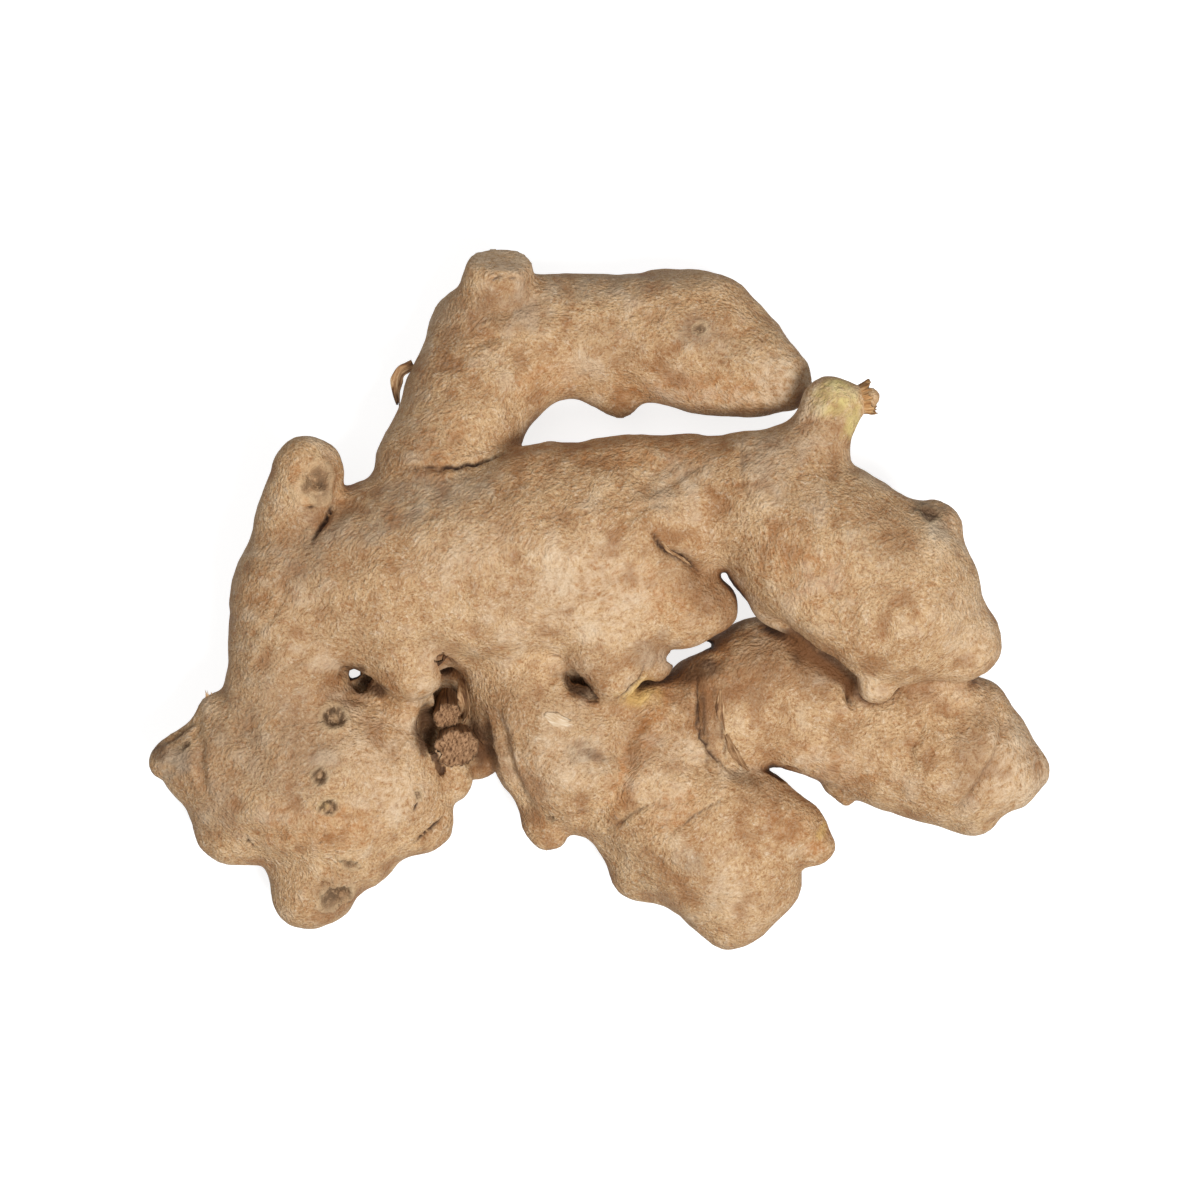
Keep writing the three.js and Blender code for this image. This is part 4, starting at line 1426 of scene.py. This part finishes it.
@dataclass
class Rhizome:
    """The whole hand of ginger in its skin."""

    cell: Triple = (0.615, 0.615, 0.92)
    seed: int = 11
    lump_length: float = 11.0
    lump_height: float = 0.55
    wrinkle_length: float = 2.6
    wrinkle_height: float = 0.13
    pucker_length: float = 5.0
    pucker_height: float = 0.22
    finish: GingerSkin = field(default_factory=GingerSkin)

    SHADE_REACHES = (1.2, 2.4)
    PUCKER_SHARE = 0.45
    WRINKLE_SHARE = 0.8
    GRAIN_BLUR = 4.0
    GRAIN_FADE = 1.5

    def build(self) -> tuple[bpy.types.Object, Surface, np.ndarray]:
        """Grows, meshes, wrinkles, scars and dresses the rhizome.

        Returns:
            The piece, the surface that other pieces are laid on, and how far it was moved to fit the frame.
        """
        grid = DistanceGrid(BRANCHES, self.cell)
        for hollow in HOLLOWS:
            grid.carve(hollow)
        skin = SkinMesh(grid)
        skin.relax(1)
        self._start_masks(skin)
        self._wrinkle(skin)
        noise = Noise(self.seed + 1)
        surface = Surface(skin)
        for feature in (*EYE_SCARS, *CRACKS):
            feature.press(skin, surface, noise)
        for patch in PATCHES:
            patch.paint(skin, noise)
        self._paint_grain(skin)
        skin.points[:, 2] = np.maximum(skin.points[:, 2], 0)
        surface = Surface(skin)
        shift = self._shift(skin.points)
        piece = make_piece("ginger_rhizome_skin", skin.points + shift, skin.quads, self.finish.material())
        for name, values in skin.masks.items():
            write_attribute(piece, name, values)
        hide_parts(CAD_NODE)
        return piece, surface, shift

    def _shift(self, points: np.ndarray) -> np.ndarray:
        """Returns the move in mm that puts the mesh's middle over the frame's.

        Args:
            points: the skin's points in mm.

        Returns:
            The move along x, y and z.
        """
        low, high = (np.array(corner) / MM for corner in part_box(CAD_NODE))
        middle = (low + high) / 2 - (points.min(0) + points.max(0)) / 2
        return np.array([middle[0], middle[1], 0.0])

    def _start_masks(self, skin: SkinMesh) -> None:
        """Gives every mask its blank value, and paints how deep in a hollow each point lies, for the painted
        shade in the skin's colour.

        Args:
            skin: the mesh to paint.
        """
        for name in MASKS:
            skin.masks[name] = np.zeros(len(skin.points))
        skin.masks["scar"] += EyeScar.REACH
        # painted shade: the less open space the skin leaves beside a point, the darker its colour is painted
        shaded = np.zeros(len(skin.points))
        for reach in self.SHADE_REACHES:
            shaded += 1 - skin.grid.sample(skin.points + skin.normals * reach) / reach
        skin.masks["hollow"] = np.clip(shaded / len(self.SHADE_REACHES), 0, 1)

    def _wrinkle(self, skin: SkinMesh) -> None:
        """Raises lumps, puckers and wrinkles, and paints how high each point stands, which the colour turns
        into painted shade and highlight.

        Args:
            skin: the mesh to work.
        """
        noise = Noise(self.seed)
        lumps = self.lump_height * noise.at(skin.points, self.lump_length, 2)
        puckers = noise.at(skin.points + 30, self.pucker_length, 2)
        wrinkles = noise.at(skin.points * [1, 1, 0.6] + 60, self.wrinkle_length, 2)
        relief = self.PUCKER_SHARE * puckers + self.WRINKLE_SHARE * wrinkles
        skin.masks["relief"] = np.clip(relief, -1, 1)
        skin.raise_by(lumps + self.pucker_height * puckers + self.wrinkle_height * wrinkles)

    def _paint_grain(self, skin: SkinMesh) -> None:
        """Paints how strongly the wrinkles run in each of the grain's directions.

        Args:
            skin: the mesh to paint.
        """
        double = np.zeros((len(skin.points), 2))
        for x, y, angle in GRAIN_MARKS:
            squared = (skin.points[:, 0] - x) ** 2 + (skin.points[:, 1] - y) ** 2
            weight = 1 / (squared + self.GRAIN_BLUR) ** self.GRAIN_FADE
            turn = 2 * math.radians(angle)
            double += weight[:, None] * [math.cos(turn), math.sin(turn)]
        course = np.arctan2(double[:, 1], double[:, 0])
        for number, direction in enumerate(GRAIN_DIRECTIONS):
            lobe = np.cos(course - 2 * math.radians(direction))
            skin.masks[f"grain_{number}"] = np.clip(lobe, 0, 1)


class Setting(Enum):
    """Whether a strip's heights are given from the skin under it or from the table."""

    ON_SKIN = "on skin"
    IN_AIR = "in air"


@dataclass
class DriedStrip:
    """A torn strip of dried scale leaf or stem fibre.

    Args:
        name: the piece's name.
        path: x, y and height in mm of the points along its middle.
        widths: its full width in mm at its start, middle and end.
        tilt: how far its width is turned up from level, in degrees, at its start and end.
        curl: how far its edges bend away from flat, as a share of its width.
        fray: how far in mm its end is torn.
        setting: what its heights are measured from.
        seed: what its tears follow from.
        finish: what it is made of.
    """

    name: str
    path: Sequence[Triple]
    widths: Triple
    tilt: Pair = (0.0, 0.0)
    curl: float = 0.15
    fray: float = 0.8
    setting: Setting = Setting.ON_SKIN
    seed: int = 1
    finish: DriedLeaf = field(default_factory=DriedLeaf)

    STEP = 0.35
    LANES = 12
    THICKNESS = 0.28
    RAGGED_EDGE = 0.18
    CRINKLE = 0.1
    THIN_EDGE = 0.6

    def build(self, surface: Surface, shift: np.ndarray) -> bpy.types.Object:
        """Makes the strip where it lies.

        Args:
            surface: the skin that it lies on.
            shift: how far the rhizome was moved to fit the frame, in mm.

        Returns:
            The piece.
        """
        points = np.array(self.path, float)
        if self.setting is Setting.ON_SKIN:
            for point in points:
                point[2] += surface.top(point[0], point[1])[2]
        line = catmull_rom(points, self.STEP)
        count = len(line)
        along = np.gradient(line, axis=0)
        along /= np.linalg.norm(along, axis=1, keepdims=True)
        level = np.cross([0, 0, 1.0], along)
        level /= np.maximum(np.linalg.norm(level, axis=1, keepdims=True), 1e-6)
        up = np.cross(along, level)
        share = np.linspace(0, 1, count)
        tilt = np.radians(np.interp(share, (0, 1), self.tilt))[:, None]
        across = level * np.cos(tilt) + up * np.sin(tilt)
        out = np.cross(along, across)
        width = np.interp(share, (0, 0.5, 1), self.widths)
        noise = Noise(self.seed)
        lanes = np.linspace(-0.5, 0.5, self.LANES)
        torn = noise.at(np.stack([40 * lanes, 0 * lanes, 0 * lanes], 1), 5.0, 2)
        grid = np.zeros((count, self.LANES, 3))
        for lane, offset in enumerate(lanes):
            ragged = 1 + self.RAGGED_EDGE * noise.at(line + 9 * np.sign(offset), 1.6, 2) * abs(2 * offset)
            bend = self.curl * width * (4 * offset * offset) + self.CRINKLE * noise.at(line + 50 * lane, 1.2)
            tear = self.fray * torn[lane] * smooth_step(share, 0.6, 1)
            sideways = offset * width * ragged
            grid[:, lane] = line + across * sideways[:, None] + out * bend[:, None] + along * tear[:, None]
        return self._sheet(grid, out, share, width, shift)

    def _sheet(
        self, grid: np.ndarray, out: np.ndarray, share: np.ndarray, width: np.ndarray, shift: np.ndarray
    ) -> bpy.types.Object:
        """Gives the strip its thickness and its finish.

        Args:
            grid: its middle surface, by station and lane.
            out: the direction that each station faces.
            share: how far along each station is, from 0 to 1.
            width: its width in mm at each station.
            shift: how far to move it, in mm.

        Returns:
            The piece.
        """
        count, lanes = grid.shape[:2]
        thin = 0.5 * self.THICKNESS * (1 - self.THIN_EDGE * np.abs(np.linspace(-1, 1, lanes)) ** 3)
        half = out[:, None, :] * thin[None, :, None]
        points = np.vstack([(grid + half).reshape(-1, 3), (grid - half).reshape(-1, 3)]) + shift
        index = np.arange(count * lanes).reshape(count, lanes)
        under = index + count * lanes
        a, b, c, d = (index[:-1, :-1], index[:-1, 1:], index[1:, 1:], index[1:, :-1])
        faces = [np.stack([a, b, c, d], -1).reshape(-1, 4)]
        a, b, c, d = (under[:-1, :-1], under[1:, :-1], under[1:, 1:], under[:-1, 1:])
        faces.append(np.stack([a, b, c, d], -1).reshape(-1, 4))
        border = np.concatenate([index[0, :-1], index[:-1, -1], index[-1, :0:-1], index[:0:-1, 0]])
        after = np.roll(border, -1)
        low = count * lanes
        faces.append(np.stack([after, border, border + low, after + low], -1))
        piece = make_piece(self.name, points, np.vstack(faces), self.finish.material())
        run = np.zeros((count, lanes, 3))
        run[..., 0] = np.linspace(-0.5, 0.5, lanes)[None, :] * width[:, None]
        run[..., 1] = (share * count * self.STEP)[:, None]
        run[..., 2] = self.seed
        write_attribute(piece, "run", np.concatenate([run.reshape(-1, 3)] * 2))
        return piece


@dataclass
class StemRemnant:
    """The dried, fluted end of a small stem, torn off ragged.

    Args:
        name: the piece's name.
        base: where its root is, in mm.
        tip: where its torn end is, in mm.
        radius: its radius in mm at its torn end.
        seed: what its tears follow from.
        finish: what it is made of.
    """

    name: str
    base: Triple
    tip: Triple
    radius: float
    seed: int
    finish: DriedLeaf

    AROUND = 96
    WALL_RINGS = 16
    CROWN_RINGS = 16
    FLUTE = 0.16
    TEAR = 0.7
    DISH = 0.28
    FOOT = 0.85
    FLARE = 0.25
    FOOT_FLUTE = 0.4
    CROWN = (0.94, 0.04)
    FIBRE_HEIGHT = 0.5
    FIBRE_RUN = 4

    def build(self, shift: np.ndarray) -> bpy.types.Object:
        """Makes the remnant where it stands.

        Args:
            shift: how far the rhizome was moved to fit the frame, in mm.

        Returns:
            The piece.
        """
        base, tip = np.array(self.base, float), np.array(self.tip, float)
        axis = (tip - base) / np.linalg.norm(tip - base)
        side = np.cross(axis, [0.3, 1.0, 0.2])
        side /= np.linalg.norm(side)
        other = np.cross(axis, side)
        noise = Noise(self.seed)
        angle = np.linspace(0, 2 * math.pi, self.AROUND, endpoint=False)
        flat = np.stack([np.cos(angle), np.sin(angle), 0 * angle], 1)
        circle = np.outer(flat[:, 0], side) + np.outer(flat[:, 1], other)
        flute = self.FLUTE * noise.at(2.2 * flat, 1.0, 3)
        tear = self.TEAR * noise.at(6 * flat + 5, 1.0, 2)
        rings, runs = [], []
        for height in np.linspace(0, 1, self.WALL_RINGS):
            fluted = 1 + flute * (self.FOOT_FLUTE + height)
            radius = self.radius * (self.FOOT + self.FLARE * height**2) * fluted
            lift = (tip - base) * height + np.outer(tear * height**4, axis)
            rings.append(base + circle * radius[:, None] + lift)
            run = np.full(self.AROUND, self.FIBRE_RUN * height)
            runs.append(np.stack([angle * self.radius, run, 0 * angle], 1))
        for inward in np.linspace(*self.CROWN, self.CROWN_RINGS):
            fibres = noise.at(5 * flat + [20, 0, 2.5 * inward], 1.0, 3) * inward
            radius = (self.FOOT + self.FLARE) * self.radius * inward * (1 + (self.FOOT_FLUTE + 1) * flute)
            dish = self.DISH * self.radius * (inward**2 - 1)
            height = dish + self.FIBRE_HEIGHT * fibres + tear * inward**6
            rings.append(tip + circle * radius[:, None] + np.outer(height, axis))
            runs.append(flat * radius[:, None] * [1, self.FIBRE_RUN, 0] + [0, 9, 0])
        points = np.vstack(rings) + shift
        index = np.arange(len(points)).reshape(len(rings), self.AROUND)
        faces = [*ring_faces(index), index[0, ::-1], index[-1]]
        piece = make_piece(self.name, points, faces, self.finish.material())
        write_attribute(piece, "run", np.vstack(runs))
        return piece


@dataclass(frozen=True)
class SoftBox:
    """A square soft lamp that faces the ginger.

    Args:
        name: the lamp's name.
        place: where it hangs, in metres.
        size: the side of its face in metres.
        power: its power in watts.
    """

    name: str
    place: Triple
    size: float
    power: float

    def hang(self) -> None:
        """Hangs the lamp and aims it at the middle of the table."""
        lamp = bpy.data.lights.new(self.name, "AREA")
        lamp.size = self.size
        lamp.energy = self.power
        holder = bpy.data.objects.new(self.name, lamp)
        holder.location = self.place
        holder.rotation_euler = (-Vector(self.place)).to_track_quat("-Z", "Y").to_euler()
        bpy.context.scene.collection.objects.link(holder)


@dataclass(frozen=True)
class Studio:
    """The white table, the soft lights and the camera straight above."""

    view: float = 200.0
    focus_height: float = 14.0
    lens: float = 200.0
    sensor: float = 36.0
    table: float = 1.6
    sweep: float = 0.5
    wall: float = 2.6
    table_gap: float = 0.0002
    key: SoftBox = SoftBox("key_softbox", (0.6, -0.65, 1.65), 0.6, 33.0)
    fill: SoftBox = SoftBox("fill_softbox", (-0.4, 0.4, 1.7), 1.0, 5.5)
    sky: float = 0.27
    finish: LightTable = LightTable()

    SIDES = 64
    BENDS = 9

    def build(self) -> None:
        """Sets the table, the lights and the camera."""
        self._table()
        self.key.hang()
        self.fill.hang()
        self._sky()
        self._camera()

    def _table(self) -> None:
        """Makes the table top and the wall that it curves up into, which throw no light on the ginger."""
        turn = np.linspace(0, 2 * math.pi, self.SIDES, endpoint=False)
        circle = np.stack([np.cos(turn), np.sin(turn), 0 * turn], 1)
        bend = np.linspace(0, math.pi / 2, self.BENDS)
        radii = [*(self.table + self.sweep * np.sin(bend)), self.table + self.sweep]
        heights = [*(self.sweep * (1 - np.cos(bend))), self.wall]
        points = np.vstack([circle * radius + [0, 0, height] for radius, height in zip(radii, heights)])
        index = np.arange(len(points)).reshape(len(radii), self.SIDES)
        mesh = bpy.data.meshes.new("table_top")
        mesh.from_pydata(points.tolist(), [], [index[0].tolist(), *ring_faces(index).tolist()])
        mesh.materials.append(self.finish.material())
        table = bpy.data.objects.new("table_top", mesh)
        table.location.z = -self.table_gap
        table.visible_diffuse = False
        table.visible_shadow = False
        bpy.context.scene.collection.objects.link(table)

    def _sky(self) -> None:
        """Fills the room with even white light."""
        world = bpy.data.worlds.new("white_room")
        world.use_nodes = True
        light = world.node_tree.nodes["Background"].inputs
        light["Color"].default_value = (1, 1, 1, 1)
        light["Strength"].default_value = self.sky
        bpy.context.scene.world = world

    def _camera(self) -> None:
        """Hangs the camera straight above, with a long lens."""
        lens = bpy.data.cameras.new("overhead_camera")
        lens.lens = self.lens
        lens.sensor_width = self.sensor
        camera = bpy.data.objects.new("overhead_camera", lens)
        distance = self.view * self.lens / self.sensor
        camera.location = (0, 0, (distance + self.focus_height) * MM)
        bpy.context.scene.collection.objects.link(camera)
        scene = bpy.context.scene
        scene.camera = camera
        scene.view_settings.view_transform = "Standard"


STRIPS: tuple[DriedStrip, ...] = (
    DriedStrip(
        "leaf_flap_left",
        ((-31, 39, 13), (-33, 37.8, 13.6), (-33.7, 35.4, 13.4), (-33.6, 32.6, 12.6)),
        (1.8, 2.4, 0.5),
        tilt=(10, 35),
        curl=0.25,
        setting=Setting.IN_AIR,
        seed=3,
    ),
    DriedStrip(
        "leaf_flap_left_small",
        ((-27.8, 41.6, 15), (-29.4, 39.8, 15.6), (-30.9, 37.6, 14.5)),
        (0.8, 1.6, 0.5),
        tilt=(50, 20),
        setting=Setting.IN_AIR,
        seed=4,
    ),
    DriedStrip(
        "column_thorn",
        ((-63.4, -19.2, 15), (-64.6, -17.4, 15.6), (-65, -15.6, 16)),
        (2.2, 1.6, 1.2),
        setting=Setting.IN_AIR,
        seed=5,
    ),
    DriedStrip(
        "cavity_flake",
        ((-22.8, -13.4, 18), (-22.2, -15.6, 21), (-21.9, -18, 20), (-22.4, -20.2, 16)),
        (1.2, 2.6, 1.6),
        tilt=(20, 60),
        curl=0.35,
        setting=Setting.IN_AIR,
        seed=6,
    ),
    DriedStrip(
        "finger_flake_upper",
        ((20.1, -15, -0.1), (20, -17.8, 0.1), (20.4, -21, -0.1)),
        (0.5, 1.3, 0.7),
        tilt=(0, 20),
        curl=0.1,
        fray=1.4,
        seed=7,
    ),
    DriedStrip(
        "finger_flake_lower",
        ((21, -22.4, -0.1), (22.2, -25.2, 0.15), (24.4, -28.4, -0.1)),
        (0.7, 1.6, 0.9),
        tilt=(5, 25),
        curl=0.1,
        fray=1.6,
        seed=8,
        finish=DriedLeaf(name="dried_scale_leaf_weathered", dark="5f4027", mid="94704c", pale="b79570"),
    ),
    DriedStrip(
        "scuffed_skin_flake",
        ((-9, -19, 0), (-7.2, -19.9, 0.12), (-5, -20.5, 0)),
        (0.9, 2.2, 1),
        curl=0.05,
        seed=10,
        finish=DriedLeaf(name="skin_scuffed_to_pale_cork", dark="b89873", mid="cdb393", pale="dfcdb3"),
    ),
    DriedStrip(
        "beak_torn_flap",
        ((10.2, 9.4, 0.1), (11.6, 7.8, 0.3), (13.6, 6.6, 0.3), (15.2, 5.6, 0.1)),
        (0.4, 1.0, 0.3),
        tilt=(30, 50),
        seed=9,
    ),
)

DRIED_STEM = DriedLeaf(name="dried_stem_torn_across", dark="553722", mid="94704f", pale="b08a68")

REMNANTS: tuple[StemRemnant, ...] = (
    StemRemnant("stem_remnant_upper", (-25.4, -16, 9), (-25.2, -19.4, 17.5), 2.2, 21, DRIED_STEM),
    StemRemnant("stem_remnant_lower", (-24.4, -21, 7), (-23.6, -25.2, 17.5), 3.1, 22, DRIED_STEM),
    StemRemnant(
        "shoot_torn_end",
        (41, 32.4, 24.6),
        (44.8, 33.2, 25),
        2.5,
        23,
        DriedLeaf(name="shoot_sheath_torn_off", dark="7a4f2a", mid="b98a58", pale="d6b98c"),
    ),
)


def main() -> None:
    """Builds the ginger and the studio round it."""
    logging.basicConfig(level=logging.INFO, format="%(name)s: %(message)s")
    skin, surface, shift = Rhizome().build()
    pieces = [skin]
    pieces += [strip.build(surface, shift) for strip in STRIPS]
    pieces += [remnant.build(shift) for remnant in REMNANTS]
    for piece in pieces:
        LOG.info("%s: %d faces", piece.name, len(piece.data.polygons))
    Studio().build()


if __name__ == "__main__":
    main()
